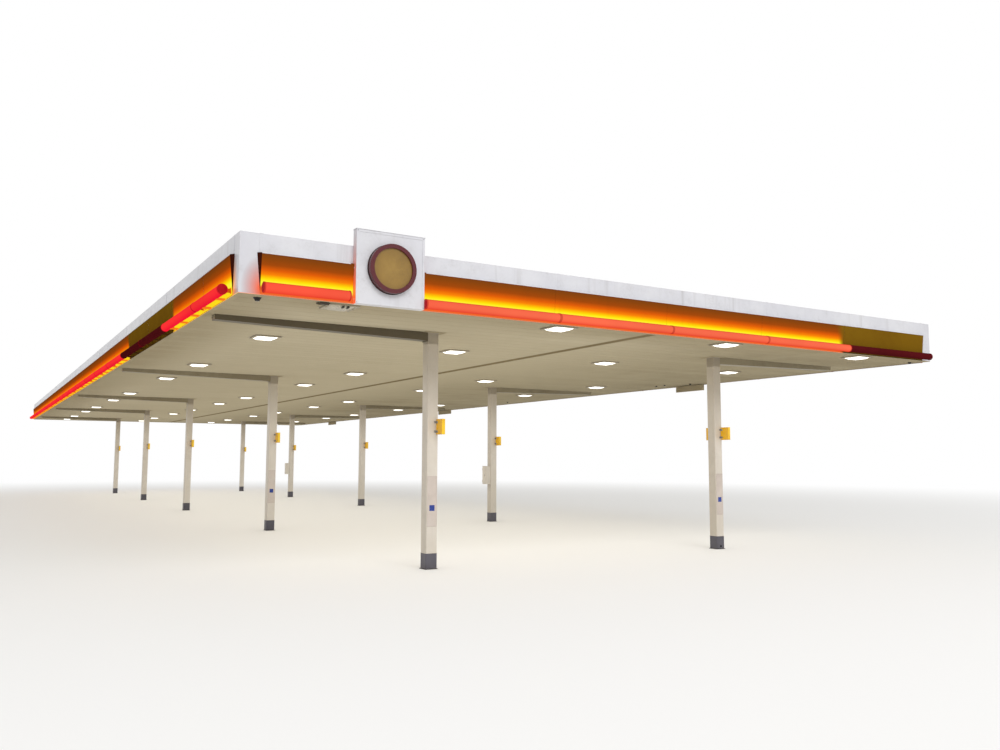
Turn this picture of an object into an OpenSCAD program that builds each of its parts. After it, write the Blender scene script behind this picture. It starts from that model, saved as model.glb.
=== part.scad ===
// Filling station canopy, a 1:2 scale model: all sizes are in model millimetres.
// x runs across the front, y along the side away from the front, z up from the ground.

/* [Roof outline] */
// Width of the roof across the front, fascia face to fascia face
roof_w = 8700; // [7250:50:10440]
// Length of the roof along its side, fascia face to fascia face
roof_l = 25150; // [20950:50:30200]
// Clear height from the ground to the soffit
clear_h = 2315; // [1925:5:2780]
// Height of the fascia above the soffit
fascia_h = 475; // [440:5:570]

/* [Columns] */
// Side of the square column tube
column_w = 120; // [100:1:150]
// Wall of the column tube
column_wall = 6; // [4:1:8]
// From the left roof edge to the left column line
left_over = 2210; // [1800:10:2700]
// From the right roof edge to the right column line
right_over = 2620; // [1800:10:3150]
// From the front roof edge to the first row of columns
front_over = 1165; // [950:5:1800]
// From the last row of columns to the rear roof edge
rear_over = 2350; // [1400:10:2850]
// How the rows divide the length between the first and the last row
bay_shares = [213, 236, 209, 208]; // [150:1:300]
// Height of the grey band on a column's foot
band_h = 152; // [100:1:200]
// Thickness of the grey band
band_t = 2; // [1:0.5:4]
// Width of the square collar round a column at the soffit
collar_w = 55; // [20:1:60]

/* [Beams and joists] */
// Width of a beam flange
beam_w = 110; // [80:1:116]
// Depth of a beam above the deck
beam_d = 240; // [160:5:300]
// Thickness of the beam flanges
flange_t = 8; // [6:1:12]
// Thickness of the beam webs and of the side plates of a cantilever
web_t = 6; // [4:1:10]
// Thickness of the end plates of the beams
plate_t = 8; // [6:1:14]
// How far a cantilever hangs below the soffit at its column
root_drop = 84; // [50:1:120]
// How far a cantilever hangs below the soffit at its tip
tip_drop = 46; // [20:1:60]
// Length of the hanging part of a cantilever from the column to its tip
arm_l = 2060; // [1500:10:2400]
// How far the end plate at the column hangs below the cantilever
plate_drop = 8; // [0:1:40]
// Height of a joist
joist_h = 130; // [80:5:160]
// Width of a joist flange
joist_w = 50; // [30:1:70]
// Sheet of a joist
joist_t = 4; // [3:0.5:6]
// Distance of the joists beside a column line from that line
joist_off = 400; // [150:10:600]

/* [Deck and gutter] */
// Width of one deck pan
pan_w = 203; // [150:1:300]
// Sheet of the deck pans
deck_t = 3; // [2:0.5:5]
// Height of the upstanding legs of the pans
leg_h = 30; // [20:1:45]
// Width of the joint groove between two pans
groove_w = 4; // [2:0.5:8]
// Width of the gutter
gutter_w = 60; // [40:1:120]
// Depth of the gutter trough
gutter_d = 55; // [40:1:80]
// Sheet of the gutter
gutter_t = 3; // [2:0.5:5]

/* [Fascia] */
// Height of the leaning yellow panel
panel_h = 322; // [260:1:360]
// How far the top of the yellow panel leans out
panel_lean = 31; // [10:1:60]
// How far the ends of the yellow panel flare towards the corner at the top
panel_flare = 31; // [0:1:60]
// Depth of the fascia build-up in front of its frame
skin_d = 20; // [14:1:40]
// Sheet of the white fascia
skin_t = 5; // [3:0.5:8]
// Width of the coping on top of the fascia
coping_w = 75; // [60:1:120]
// Leg of the white corner post
post_leg = 165; // [120:1:220]
// Outside size of the fascia frame tube
tube_w = 25; // [20:1:40]
// Depth of the edge rail of the fascia frame
rail_d = 30; // [25:1:50]
// Height of the edge rail of the fascia frame
rail_h = 120; // [80:1:160]
// Greatest distance between two uprights of the fascia frame
upright_gap = 1250; // [800:10:1600]
// Thickness of the soffit edge trim
trim_t = 4; // [2:0.5:8]

/* [Light bar] */
// Diameter of the red bar
bar_d = 82; // [60:1:110]
// From the fascia face to the centre of the red bar
bar_out = 78; // [60:1:110]
// From the soffit to the centre of the red bar
bar_up = 42; // [30:1:90]
// Length of one bar segment; the last one of a run takes up the rest
bar_seg = 1370; // [900:10:2000]
// Gap between two bar segments
bar_gap = 4; // [2:1:10]
// Length of the end ring on a bar segment
ring_l = 11; // [6:1:20]
// How far an end ring stands out round the bar
ring_t = 2; // [1:0.5:4]
// How far the front bar passes the end of its panel at the right corner
bar_past = 40; // [0:1:60]
// Gap between the front bar and the left side of the sign board
bar_stop = 50; // [0:1:100]
// Length of the first bar segment at the front end of the left side
bar_first = 930; // [600:10:1370]
// Width of a bar bracket
bracket_w = 16; // [8:1:30]
// Height of a bar bracket
bracket_h = 30; // [16:1:50]

/* [Sign board] */
// Side of the square sign board
sign_w = 615; // [500:5:750]
// Thickness of the sign board
sign_t = 65; // [50:1:160]
// From the left roof edge to the sign board
sign_x = 915; // [500:5:2000]
// How far the sign board hangs below the soffit
sign_drop = 8; // [0:1:30]
// Diameter of the round light box
disc_d = 410; // [250:5:480]
// Depth of the round light box
disc_t = 60; // [20:1:100]
// Width of the rim of the round light box
disc_rim = 34; // [6:1:60]

/* [Soffit lights] */
// Side of a light housing
light_w = 256; // [160:1:300]
// Depth of a light housing below the soffit
light_h = 12; // [10:1:40]
// Rim of a light housing
light_rim = 24; // [10:1:40]
// From the left roof edge to the first line of lights
light_left = 875; // [500:5:1300]
// From the right roof edge to the last line of lights
light_right = 1205; // [500:5:1500]
// Distance of the lights in front of and behind a row of columns
light_off = 1130; // [600:5:1200]
// Depth of the lens pocket
lens_h = 5; // [4:1:8]
// How far the middle of a lens bulges below its housing
lens_drop = 16; // [4:1:30]

/* [Fittings] */
// Top diameters of the small tapered domes under the roof edge
dome_sizes = [72, 56, 50, 46, 44, 44]; // [30:1:100]
// Length of a hanging board
board_l = 625; // [400:5:900]
// Height of a hanging board
board_h = 92; // [60:1:140]
// Thickness of a hanging board
board_t = 40; // [20:1:60]
// Gap between a hanging board and the soffit
board_gap = 12; // [5:1:30]
// Size of a column sign: along the column face, out from it, height
tag_size = [32, 124, 152]; // [30:1:200]
// How far a column sign stands out beyond the side of its column
tag_past = 12; // [0:1:12]
// Height of a column sign's underside above the ground
tag_z = 1303; // [900:5:1600]
// Size of a column cabinet: out from the column, along the column face, height
cabinet_size = [100, 100, 305]; // [40:1:400]
// Height of a cabinet's underside above the ground
cabinet_z = 640; // [400:5:900]

/* [Hidden] */

eps = 0.01;
seat = 0.3;
fit = 2;

// How far the outermost pieces stand out at the front and at the back
back_out = bar_out + bar_d / 2 + ring_t;
front_out = max(sign_t + disc_t, back_out);

// Roof edges; the origin is under the middle of the whole outline
x_left = -roof_w / 2;
x_right = roof_w / 2;
y_front = front_out - (roof_l + front_out + back_out) / 2;
y_back = y_front + roof_l;

line_a = x_left + left_over;
line_b = x_right - right_over;
lines = [line_a, line_b];
row_span = roof_l - front_over - rear_over;

function sum_to(v, n) = n <= 0 ? 0 : v[n - 1] + sum_to(v, n - 1);
share_total = sum_to(bay_shares, len(bay_shares));
rows = [
    for (i = [0 : len(bay_shares)])
        round(y_front + front_over + row_span * sum_to(bay_shares, i) / share_total)
];

column_r = 2 * column_wall;
gutter_x = (line_a + line_b) / 2;
frame_in = skin_d + rail_d;
beam_z = clear_h + deck_t;
joist_z = clear_h + deck_t + leg_h;
beam_top = beam_z + beam_d;
x_lights = [
    for (k = [0 : 3])
        x_left + light_left + k * (roof_w - light_left - light_right) / 3
];
light_edge = frame_in + light_w / 2 + fit;
y_lights = [
    for (y = rows, s = [-1, 1])
        min(max(y + s * light_off, y_front + light_edge), y_back - light_edge)
];
joist_lines = [
    x_left + left_over / 3, line_a - joist_off, line_a + joist_off,
    line_b - joist_off, line_b + joist_off, x_right - right_over / 3
];
// Depth and lower diameter of a dome as shares of its top diameter
dome_deep = 0.42;
dome_foot = 0.45;
// Each dome as [from the left roof edge, from the front roof edge]
dome_spots = [
    [185, 140], [roof_w - 140, 190], [roof_w - 275, front_over + 2875],
    [roof_w - 400, front_over + 8410], [roof_w - 445, front_over + 3510], [roof_w - 460, front_over + 3285]
];

cream = [0.86, 0.84, 0.78];
white = [0.92, 0.92, 0.93];
yellow = [0.98, 0.66, 0.05];
red = [0.85, 0.08, 0.08];
grey = [0.45, 0.47, 0.52];
steel = [0.62, 0.62, 0.6];

// Draws children in the frame of one roof side: x along the side from its left end
// as seen from outside, y inwards from the fascia face, z up from the soffit
module on_side(side) {
    if (side == "front") translate([x_left, y_front, clear_h]) children();
    if (side == "right") translate([x_right, y_front, clear_h]) rotate([0, 0, 90]) children();
    if (side == "back") translate([x_right, y_back, clear_h]) rotate([0, 0, 180]) children();
    if (side == "left") translate([x_left, y_back, clear_h]) rotate([0, 0, -90]) children();
}

function side_len(side) = side == "front" || side == "back" ? roof_w : roof_l;

// Extrudes a profile given as [inwards, up] points along one side from x0 to x1
module along(x0, x1) {
    translate([x0, 0, 0]) rotate([90, 0, 90]) linear_extrude(x1 - x0) children();
}

// Square with round corners about the origin
module tube_outline(w, r) {
    square([w - 2 * r, w], center = true);
    square([w, w - 2 * r], center = true);
    for (x = [-1, 1], y = [-1, 1])
        translate([x * (w / 2 - r), y * (w / 2 - r)]) circle(r = r, $fn = 24);
}

// Rolled square tube on the ground with a closed foot and an open top
module column(x, y) {
    translate([x, y, 0]) difference() {
        linear_extrude(beam_top) tube_outline(column_w, column_r);
        translate([0, 0, 2 * column_wall]) linear_extrude(beam_top)
            tube_outline(column_w - 2 * column_wall, column_r - column_wall);
    }
}

module columns_row(i) {
    color(cream) for (x = lines) column(x, rows[i - 1]);
}

module base_bands() {
    color(grey) for (x = lines, y = rows) translate([x, y, 0]) difference() {
        linear_extrude(band_h) tube_outline(column_w + 2 * band_t, column_r + band_t);
        translate([0, 0, -eps]) linear_extrude(band_h + 2 * eps) tube_outline(column_w, column_r);
    }
}

// Square plate under the soffit, open towards the cantilever that runs into the column
module column_collars() {
    outer = column_w + 2 * collar_w;
    color(cream) for (x = lines, y = rows) {
        out = x == line_a ? -1 : 1;
        translate([x, y, clear_h - trim_t]) difference() {
            translate([-outer / 2, -outer / 2, 0]) cube([outer, outer, trim_t]);
            translate([0, 0, -eps]) linear_extrude(trim_t + 2 * eps) tube_outline(column_w, column_r);
            translate([out > 0 ? 0 : -outer, -beam_w / 2 - fit, -eps])
                cube([outer, beam_w + 2 * fit, trim_t + 2 * eps]);
        }
    }
}

// Extrudes a side view given as [x, z] points to a width in y about the row
module side_view(width, points) {
    translate([0, width / 2, 0]) rotate([90, 0, 0]) linear_extrude(width) polygon(points);
}

function slab(x0, x1, z0, z1) = [[x0, z0], [x1, z0], [x1, z1], [x0, z1]];

// I-section between two columns with an end plate at each
module middle_beam(x0, x1) {
    side_view(web_t, slab(x0, x1, beam_z, beam_top));
    side_view(beam_w, slab(x0, x1, beam_z, beam_z + flange_t));
    side_view(beam_w, slab(x0, x1, beam_top - flange_t, beam_top));
    side_view(beam_w, slab(x0, x0 + plate_t, beam_z, beam_top));
    side_view(beam_w, slab(x1 - plate_t, x1, beam_z, beam_top));
}

// Length of a cantilever and of its hanging part for a roof overhang
function run_of(over) = over - column_w / 2 - frame_in;
function arm_of(over) = min(arm_l, run_of(over) - 2 * plate_t);

// Closed tapered box from the column face at x = 0 to its tip, above the deck on to the edge rail,
// with a longer plate at its root
module cantilever(run, arm) {
    root = clear_h - root_drop;
    tip = clear_h - tip_drop;
    difference() {
        side_view(beam_w, [
            [0, root], [arm, tip], [arm, beam_z], [run, beam_z], [run, beam_top], [0, beam_top]
        ]);
        side_view(beam_w - 2 * web_t, [
            [plate_t, root + flange_t], [arm - plate_t, tip + flange_t], [arm - plate_t, beam_z + flange_t],
            [run - plate_t, beam_z + flange_t], [run - plate_t, beam_top - flange_t],
            [plate_t, beam_top - flange_t]
        ]);
    }
    side_view(beam_w, slab(0, plate_t, root - plate_drop, root + flange_t));
}

module beams_row(i) {
    half = column_w / 2;
    color(steel) translate([0, rows[i - 1], 0]) {
        translate([line_a - half, 0, 0]) mirror([1, 0, 0])
            cantilever(run_of(left_over), arm_of(left_over));
        middle_beam(line_a + half, line_b - half);
        translate([line_b + half, 0, 0]) cantilever(run_of(right_over), arm_of(right_over));
    }
}

// Channel joist between y0 and y1, its open side towards +x
module joist(x, y0, y1) {
    translate([x - joist_w / 2, y0, joist_z]) rotate([90, 0, 180]) mirror([1, 0, 0])
        linear_extrude(y1 - y0) difference() {
            square([joist_w, joist_h]);
            translate([joist_t, joist_t]) square([joist_w, joist_h - 2 * joist_t]);
        }
}

// Joists reach the web of the middle beams and the side plates of the cantilevers
module joists() {
    color(steel) for (x = joist_lines, k = [0 : len(rows)]) {
        back_off = x > line_a && x < line_b ? web_t / 2 : beam_w / 2;
        y0 = k == 0 ? y_front + frame_in : rows[k - 1] + back_off;
        y1 = k == len(rows) ? y_back - frame_in : rows[k] - back_off;
        joist(x, y0, y1);
    }
}

// Trays side by side: flat sheet with a leg pair at each joint and a groove below it
module pan_profile(y0, y1) {
    first = ceil((y0 - y_front) / pan_w);
    last = floor((y1 - y_front) / pan_w);
    difference() {
        union() {
            translate([y0, 0]) square([y1 - y0, deck_t]);
            for (k = [first : last])
                if (y_front + k * pan_w > y0 + groove_w && y_front + k * pan_w < y1 - groove_w)
                    translate([y_front + k * pan_w - groove_w, 0]) square([2 * groove_w, deck_t + leg_h]);
        }
        for (k = [first : last])
            translate([y_front + k * pan_w - groove_w / 2, -eps]) square([groove_w, deck_t * 0.6]);
    }
}

module deck_half(x0, x1, y0, y1) {
    slot_w = beam_w + 2 * fit;
    slot_a = column_w / 2 + arm_of(left_over) + fit;
    slot_b = column_w / 2 + arm_of(right_over) + fit;
    difference() {
        translate([x0, 0, clear_h]) rotate([90, 0, 90]) linear_extrude(x1 - x0) pan_profile(y0, y1);
        // Room for the beams on top of the sheet and for the columns and cantilevers through it
        for (y = rows) {
            translate([x0 - eps, y - slot_w / 2, beam_z])
                cube([x1 - x0 + 2 * eps, slot_w, leg_h + fit]);
            for (x = lines)
                translate([x - column_w / 2, y - column_w / 2, clear_h - fit])
                    cube([column_w, column_w, leg_h + 4 * fit]);
            translate([line_a - slot_a, y - slot_w / 2, clear_h - fit])
                cube([slot_a, slot_w, leg_h + 4 * fit]);
            translate([line_b, y - slot_w / 2, clear_h - fit])
                cube([slot_b, slot_w, leg_h + 4 * fit]);
        }
        // Room for the edge rails
        for (x = [x_left, x_right - frame_in])
            translate([x, y_front, beam_z]) cube([frame_in, roof_l, leg_h + fit]);
        for (y = [y_front, y_back - frame_in])
            translate([x_left, y, beam_z]) cube([roof_w, frame_in, leg_h + fit]);
    }
}

module deck_bay(i) {
    y0 = i == 1 ? y_front + skin_d : rows[i - 2];
    y1 = i == len(rows) + 1 ? y_back - skin_d : rows[i - 1];
    color(cream) {
        deck_half(x_left + skin_d, gutter_x - gutter_w / 2, y0, y1);
        deck_half(gutter_x + gutter_w / 2, x_right - skin_d, y0, y1);
    }
}

// Open trough between the two halves of the deck
module center_gutter() {
    color(cream) difference() {
        translate([gutter_x - gutter_w / 2, y_front + frame_in, clear_h])
            cube([gutter_w, roof_l - 2 * frame_in, gutter_d]);
        translate([gutter_x - gutter_w / 2 + gutter_t, y_front + frame_in + gutter_t, clear_h + gutter_t])
            cube([gutter_w - 2 * gutter_t, roof_l - 2 * frame_in - 2 * gutter_t, gutter_d]);
        for (y = rows)
            translate([gutter_x - gutter_w, y - beam_w / 2 - fit, beam_z])
                cube([2 * gutter_w, beam_w + 2 * fit, gutter_d]);
    }
}

// Edge rail, uprights and top rail behind one side of the fascia
module fascia_frame(side) {
    inset = side == "front" || side == "back" ? skin_d : frame_in;
    run = side_len(side) - 2 * inset;
    bays = ceil(run / upright_gap);
    step = (run - tube_w) / bays;
    top = fascia_h - skin_t;
    color(steel) on_side(side) {
        translate([inset, skin_d, deck_t]) cube([run, rail_d, rail_h]);
        translate([inset, skin_d, top - tube_w]) cube([run, tube_w, tube_w]);
        for (k = [0 : bays])
            translate([inset + k * step, skin_d, deck_t]) cube([tube_w, tube_w, top - deck_t]);
    }
}

// Four strips under the edge of the soffit
module soffit_trim() {
    color(white) {
        for (side = ["front", "back"]) on_side(side)
            translate([0, 0, -trim_t]) cube([roof_w, frame_in, trim_t]);
        for (side = ["left", "right"]) on_side(side)
            translate([frame_in + seat, 0, -trim_t])
                cube([roof_l - 2 * frame_in - 2 * seat, frame_in, trim_t]);
    }
}

// Upper band: face sheet, bottom lip, coping and the drip on its inner edge
module band_profile() {
    difference() {
        translate([0, panel_h]) square([coping_w, fascia_h - panel_h]);
        translate([skin_t, panel_h + skin_t])
            square([coping_w - 2 * skin_t, fascia_h - panel_h - 2 * skin_t]);
        translate([skin_d, panel_h - eps]) square([coping_w, fascia_h - panel_h - 4 * skin_t]);
    }
}

module white_band(side) {
    color(white) on_side(side) along(post_leg + seat, side_len(side) - post_leg - seat) band_profile();
}

// L-shaped sheet with returned edges, and its piece of the coping
module corner_post() {
    linear_extrude(fascia_h) difference() {
        union() {
            square([post_leg, skin_d]);
            square([skin_d, post_leg]);
        }
        translate([skin_t, skin_t]) square([post_leg - 2 * skin_t, skin_d]);
        translate([skin_t, skin_t]) square([skin_d, post_leg - 2 * skin_t]);
    }
    translate([0, 0, fascia_h - skin_t]) linear_extrude(skin_t) union() {
        square([post_leg, coping_w]);
        square([coping_w, post_leg]);
    }
}

module corner_posts() {
    color(white) for (side = ["front", "right", "back", "left"]) on_side(side) corner_post();
}

// Light box whose face leans out to the top and whose ends flare towards the corners
module leaning_panel(x0, x1, flare0, flare1) {
    translate([x0, 0, 0]) cube([x1 - x0, skin_d, panel_h]);
    polyhedron(
        points = [
            [x0, 0, 0], [x1, 0, 0],
            [x0, -panel_lean, panel_h], [x1, -panel_lean, panel_h],
            [x1 + flare1, 0, panel_h], [x0 - flare0, 0, panel_h]
        ],
        faces = [[0, 2, 3, 1], [0, 1, 4, 5], [0, 5, 2], [1, 3, 4], [2, 5, 4, 3]]
    );
}

module yellow_panel(side) {
    x1 = side_len(side) - post_leg;
    color(yellow) on_side(side)
        if (side == "front") {
            leaning_panel(post_leg + seat, sign_x - seat, panel_flare, 0);
            leaning_panel(sign_x + sign_w + seat, x1 - seat, 0, panel_flare);
        } else
            leaning_panel(post_leg + seat, x1 - seat, panel_flare, panel_flare);
}

// How far the leaning panel stands out at a height above the soffit
function lean_at(z) = panel_lean * z / panel_h;

// One length of the round bar with end rings and a bracket near each end, cut to the leaning panel
module bar_length(x0, x1) {
    z0 = bar_up - bracket_h / 2;
    z1 = bar_up + bracket_h / 2;
    translate([x0, -bar_out, bar_up]) rotate([0, 90, 0]) {
        cylinder(d = bar_d, h = x1 - x0, $fn = 36);
        for (z = [0, x1 - x0 - ring_l])
            translate([0, 0, z]) cylinder(d = bar_d + 2 * ring_t, h = ring_l, $fn = 36);
    }
    for (x = [x0 + 2 * bracket_w, x1 - 3 * bracket_w])
        along(x, x + bracket_w)
            polygon([[-bar_out, z0], [-lean_at(z0) - seat, z0], [-lean_at(z1) - seat, z1], [-bar_out, z1]]);
}

// A run of bar lengths from x0 towards x1; the last one takes up the rest
module bar_run(x0, x1) {
    way = x1 > x0 ? 1 : -1;
    count = max(1, floor(abs(x1 - x0) / bar_seg));
    for (k = [0 : count - 1]) {
        a = x0 + way * k * bar_seg;
        b = k == count - 1 ? x1 : a + way * bar_seg;
        bar_length(min(a, b) + bar_gap / 2, max(a, b) - bar_gap / 2);
    }
}

module red_bar(side) {
    x1 = side_len(side) - post_leg;
    color(red) on_side(side)
        if (side == "front") {
            bar_run(post_leg, sign_x - bar_stop);
            bar_run(sign_x + sign_w, x1 + bar_past);
        } else if (side == "left") {
            bar_length(x1 - bar_first + bar_gap / 2, x1 - bar_gap / 2);
            bar_run(x1 - bar_first, post_leg);
        } else
            bar_run(post_leg, x1);
}

module sign_board() {
    color(white) on_side("front")
        translate([sign_x + seat, -sign_t, -sign_drop]) cube([sign_w - 2 * seat, sign_t, sign_w]);
}

module sign_disc() {
    color(red) on_side("front")
        translate([sign_x + sign_w / 2, -sign_t, sign_w / 2 - sign_drop]) rotate([90, 0, 0]) difference() {
            cylinder(d = disc_d, h = disc_t, $fn = 96);
            translate([0, 0, disc_t - disc_rim / 2])
                cylinder(d = disc_d - 2 * disc_rim, h = disc_rim, $fn = 96);
        }
}

// Square slab about the z axis from z upwards
module pad(w, z, h) {
    translate([-w / 2, -w / 2, z]) cube([w, w, h]);
}

module at_lights() {
    for (x = x_lights, y = y_lights) translate([x, y, clear_h - light_h]) children();
}

module light_housings() {
    pocket = light_w - 2 * light_rim;
    color(white) at_lights() difference() {
        pad(light_w, 0, light_h);
        pad(pocket, -eps, lens_h + eps);
    }
}

// Lens in its pocket, bulging down to a smaller flat square
module light_lenses() {
    lens = light_w - 2 * light_rim - 2 * seat;
    flat = max(lens / 4, lens - 4 * lens_drop);
    color("white") at_lights() hull() {
        pad(lens, 0, lens_h);
        pad(flat, -lens_drop, lens_drop);
    }
}

module edge_domes() {
    color([0.15, 0.15, 0.16]) for (k = [0 : len(dome_spots) - 1]) {
        wide = dome_sizes[k];
        deep = dome_deep * wide;
        translate([x_left + dome_spots[k][0], y_front + dome_spots[k][1], clear_h - deep])
            cylinder(d1 = dome_foot * wide, d2 = wide, h = deep, $fn = 32);
    }
}

module hanging_board(y) {
    tab = 16;
    translate([x_right - frame_in - board_t, y - board_l / 2, clear_h - board_gap - board_h])
        cube([board_t, board_l, board_h]);
    for (s = [-1, 1])
        translate([x_right - frame_in - board_t, y + s * board_l / 3 - tab / 2, clear_h - board_gap])
            cube([board_t, tab, board_gap]);
}

module hanging_boards() {
    color(cream) for (y = [(rows[0] + rows[1]) / 2 + 440, rows[2] + 780, rows[3] + 3680]) hanging_board(y);
}

// Flag boxes on the front and the back of every column, near its right edge
module column_signs() {
    color(yellow) for (x = lines, y = rows, s = [-1, 1])
        translate([
            x + column_w / 2 + tag_past - tag_size[0],
            s > 0 ? y + column_w / 2 : y - column_w / 2 - tag_size[1],
            tag_z
        ]) cube(tag_size);
}

module column_cabinets() {
    color(cream) for (i = [1, 3])
        translate([line_b - column_w / 2 - cabinet_size[0], rows[i] - cabinet_size[1] / 2, cabinet_z])
            cube(cabinet_size);
}

columns_row(1);  // columns_row_1
columns_row(2);  // columns_row_2
columns_row(3);  // columns_row_3
columns_row(4);  // columns_row_4
columns_row(5);  // columns_row_5
base_bands();
column_collars();
beams_row(1);  // beams_row_1
beams_row(2);  // beams_row_2
beams_row(3);  // beams_row_3
beams_row(4);  // beams_row_4
beams_row(5);  // beams_row_5
joists();
deck_bay(1);  // deck_bay_1
deck_bay(2);  // deck_bay_2
deck_bay(3);  // deck_bay_3
deck_bay(4);  // deck_bay_4
deck_bay(5);  // deck_bay_5
deck_bay(6);  // deck_bay_6
center_gutter();
fascia_frame("front");  // fascia_frame_front
fascia_frame("back");  // fascia_frame_back
fascia_frame("left");  // fascia_frame_left
fascia_frame("right");  // fascia_frame_right
soffit_trim();
white_band("front");  // white_band_front
white_band("back");  // white_band_back
white_band("left");  // white_band_left
white_band("right");  // white_band_right
corner_posts();
yellow_panel("front");  // yellow_panel_front
yellow_panel("back");  // yellow_panel_back
yellow_panel("left");  // yellow_panel_left
yellow_panel("right");  // yellow_panel_right
red_bar("front");  // red_bar_front
red_bar("back");  // red_bar_back
red_bar("left");  // red_bar_left
red_bar("right");  // red_bar_right
sign_board();
sign_disc();
light_housings();
light_lenses();
edge_domes();
hanging_boards();
column_signs();
column_cabinets();
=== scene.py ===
import itertools
import math

import bmesh
import bpy
import numpy as np
from mathutils import Matrix, Vector


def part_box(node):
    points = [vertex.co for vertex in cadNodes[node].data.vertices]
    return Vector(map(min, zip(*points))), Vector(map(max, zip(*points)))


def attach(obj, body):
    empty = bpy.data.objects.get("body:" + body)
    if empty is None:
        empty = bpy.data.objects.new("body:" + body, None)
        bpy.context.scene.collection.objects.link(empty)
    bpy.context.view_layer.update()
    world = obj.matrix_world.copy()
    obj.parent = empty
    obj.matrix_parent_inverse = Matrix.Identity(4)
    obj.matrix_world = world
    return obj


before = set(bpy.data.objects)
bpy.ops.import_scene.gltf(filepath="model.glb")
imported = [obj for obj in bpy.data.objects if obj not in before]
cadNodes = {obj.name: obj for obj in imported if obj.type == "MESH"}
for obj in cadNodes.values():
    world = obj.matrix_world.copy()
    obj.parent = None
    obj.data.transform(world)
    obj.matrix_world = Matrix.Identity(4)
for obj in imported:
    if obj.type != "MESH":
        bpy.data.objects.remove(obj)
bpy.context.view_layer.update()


# Sizes that the pieces need, all read from the frame

def islandBoxes(node):  # the box of each solid of a node, from the front and the left
    mesh = cadNodes[node].data
    points = np.empty(len(mesh.vertices) * 3)
    mesh.vertices.foreach_get("co", points)
    spots, key = np.unique(np.round(points.reshape(-1, 3), 5), axis=0, return_inverse=True)
    ends = np.empty(len(mesh.edges) * 2, dtype=int)
    mesh.edges.foreach_get("vertices", ends)
    pairs = key.reshape(-1)[ends].reshape(-1, 2)
    label = np.arange(len(spots))
    while True:
        low = np.minimum(label[pairs[:, 0]], label[pairs[:, 1]])
        new = label.copy()
        np.minimum.at(new, pairs[:, 0], low)
        np.minimum.at(new, pairs[:, 1], low)
        new = new[new]
        if (new == label).all():
            break
        label = new
    boxes = [(spots[label == k].min(0), spots[label == k].max(0)) for k in np.unique(label)]
    return sorted(boxes, key=lambda b: (round(b[0][1], 3), round(b[0][0], 3)))


trimBox, bandBox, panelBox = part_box("soffit_trim"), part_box("white_band_front"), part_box("yellow_panel_front")
signBox, discBox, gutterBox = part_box("sign_board"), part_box("sign_disc"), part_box("center_gutter")
roof = {
    "left": trimBox[0].x, "right": trimBox[1].x, "front": trimBox[0].y, "back": trimBox[1].y,
    "trim": trimBox[0].z, "soffit": trimBox[1].z, "top": bandBox[1].z, "bandFoot": bandBox[0].z,
}
roofWidth, roofLength = roof["right"] - roof["left"], roof["back"] - roof["front"]
panelLean = roof["front"] - panelBox[0].y
panelHeight = panelBox[1].z - roof["soffit"]
lights, lenses = islandBoxes("light_housings"), islandBoxes("light_lenses")
lightRim = (lights[0][1][0] - lights[0][0][0] - lenses[0][1][0] + lenses[0][0][0]) / 2
unlitLight = lights[0]
columns = [b for row in range(1, 6) for b in islandBoxes("columns_row_%d" % row)]
columnWidth = columns[0][1][0] - columns[0][0][0]
rowPlaces = [(b[0][1] + b[1][1]) / 2 for b in columns[::2]]

# x along a side from its left end as seen from outside, y inwards from the fascia, z up from the soffit
sideFrames = {
    side: Matrix.Translation((roof[x], roof[y], roof["soffit"])) @ Matrix.Rotation(math.radians(turn), 4, "Z")
    for side, x, y, turn in (
        ("front", "left", "front", 0), ("right", "right", "front", 90),
        ("back", "right", "back", 180), ("left", "left", "back", -90),
    )
}
sideLengths = {"front": roofWidth, "right": roofLength, "back": roofWidth, "left": roofLength}
sideReach = {"front": -roof["front"], "right": roof["right"], "back": roof["back"], "left": -roof["left"]}
outward = {"front": (0, -1, 0), "right": (1, 0, 0), "back": (0, 1, 0), "left": (-1, 0, 0)}
seenTwin = {"front": "front", "back": "front", "left": "left", "right": "left"}  # hidden sides take their colours


def onSide(side, box):
    ends = [sideFrames[side].inverted() @ Vector(corner) for corner in box]
    return np.minimum(*map(np.array, ends)), np.maximum(*map(np.array, ends))


def sideBoxes(start, side):
    return sorted((onSide(side, b) for b in islandBoxes(start + side)), key=lambda b: b[0][0])


bars = {side: sideBoxes("red_bar_", side) for side in outward}
barTop = bars["front"][0][1][2]
barHeight = barTop - bars["front"][0][0][2]
barAxisOut = -bars["front"][0][0][1] - barHeight / 2
barAxisUp = barTop - barHeight / 2
# Where the bar is dark: the last length at the front, the third and fourth from the near corner on the left
darkRuns = {
    "front": (roof["left"] + bars["front"][-1][0][0], roof["right"] + 1),
    "left": (roof["back"] - bars["left"][-3][1][0], roof["back"] - bars["left"][-4][0][0]),
    "right": (roof["front"] - 1, roof["back"] + 1),
    "back": (90, 91),
}
print("frame read:", len(cadNodes), "nodes,", len(lights), "lights,", sum(map(len, bars.values())), "bar lengths")


# Shader helpers

current = {}  # the node tree and the shader that are being built


class Wire:  # a socket that takes part in sums; each sum adds a math node to the current tree
    def __init__(self, socket):
        self.socket = socket

    def __abs__(self):
        return calc("ABSOLUTE", self)

    def __add__(self, other):
        return calc("ADD", self, other)

    def __sub__(self, other):
        return calc("SUBTRACT", self, other)

    def __rsub__(self, other):
        return calc("SUBTRACT", other, self)

    def __mul__(self, other):
        return calc("MULTIPLY", self, other)

    def __truediv__(self, other):
        return calc("DIVIDE", self, other)

    def __pow__(self, other):
        return calc("POWER", self, other)


def plug(value, socket):
    source = getattr(value, "socket", value)
    if isinstance(source, bpy.types.NodeSocket):
        current["tree"].links.new(source, socket)
    else:
        socket.default_value = source


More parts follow.
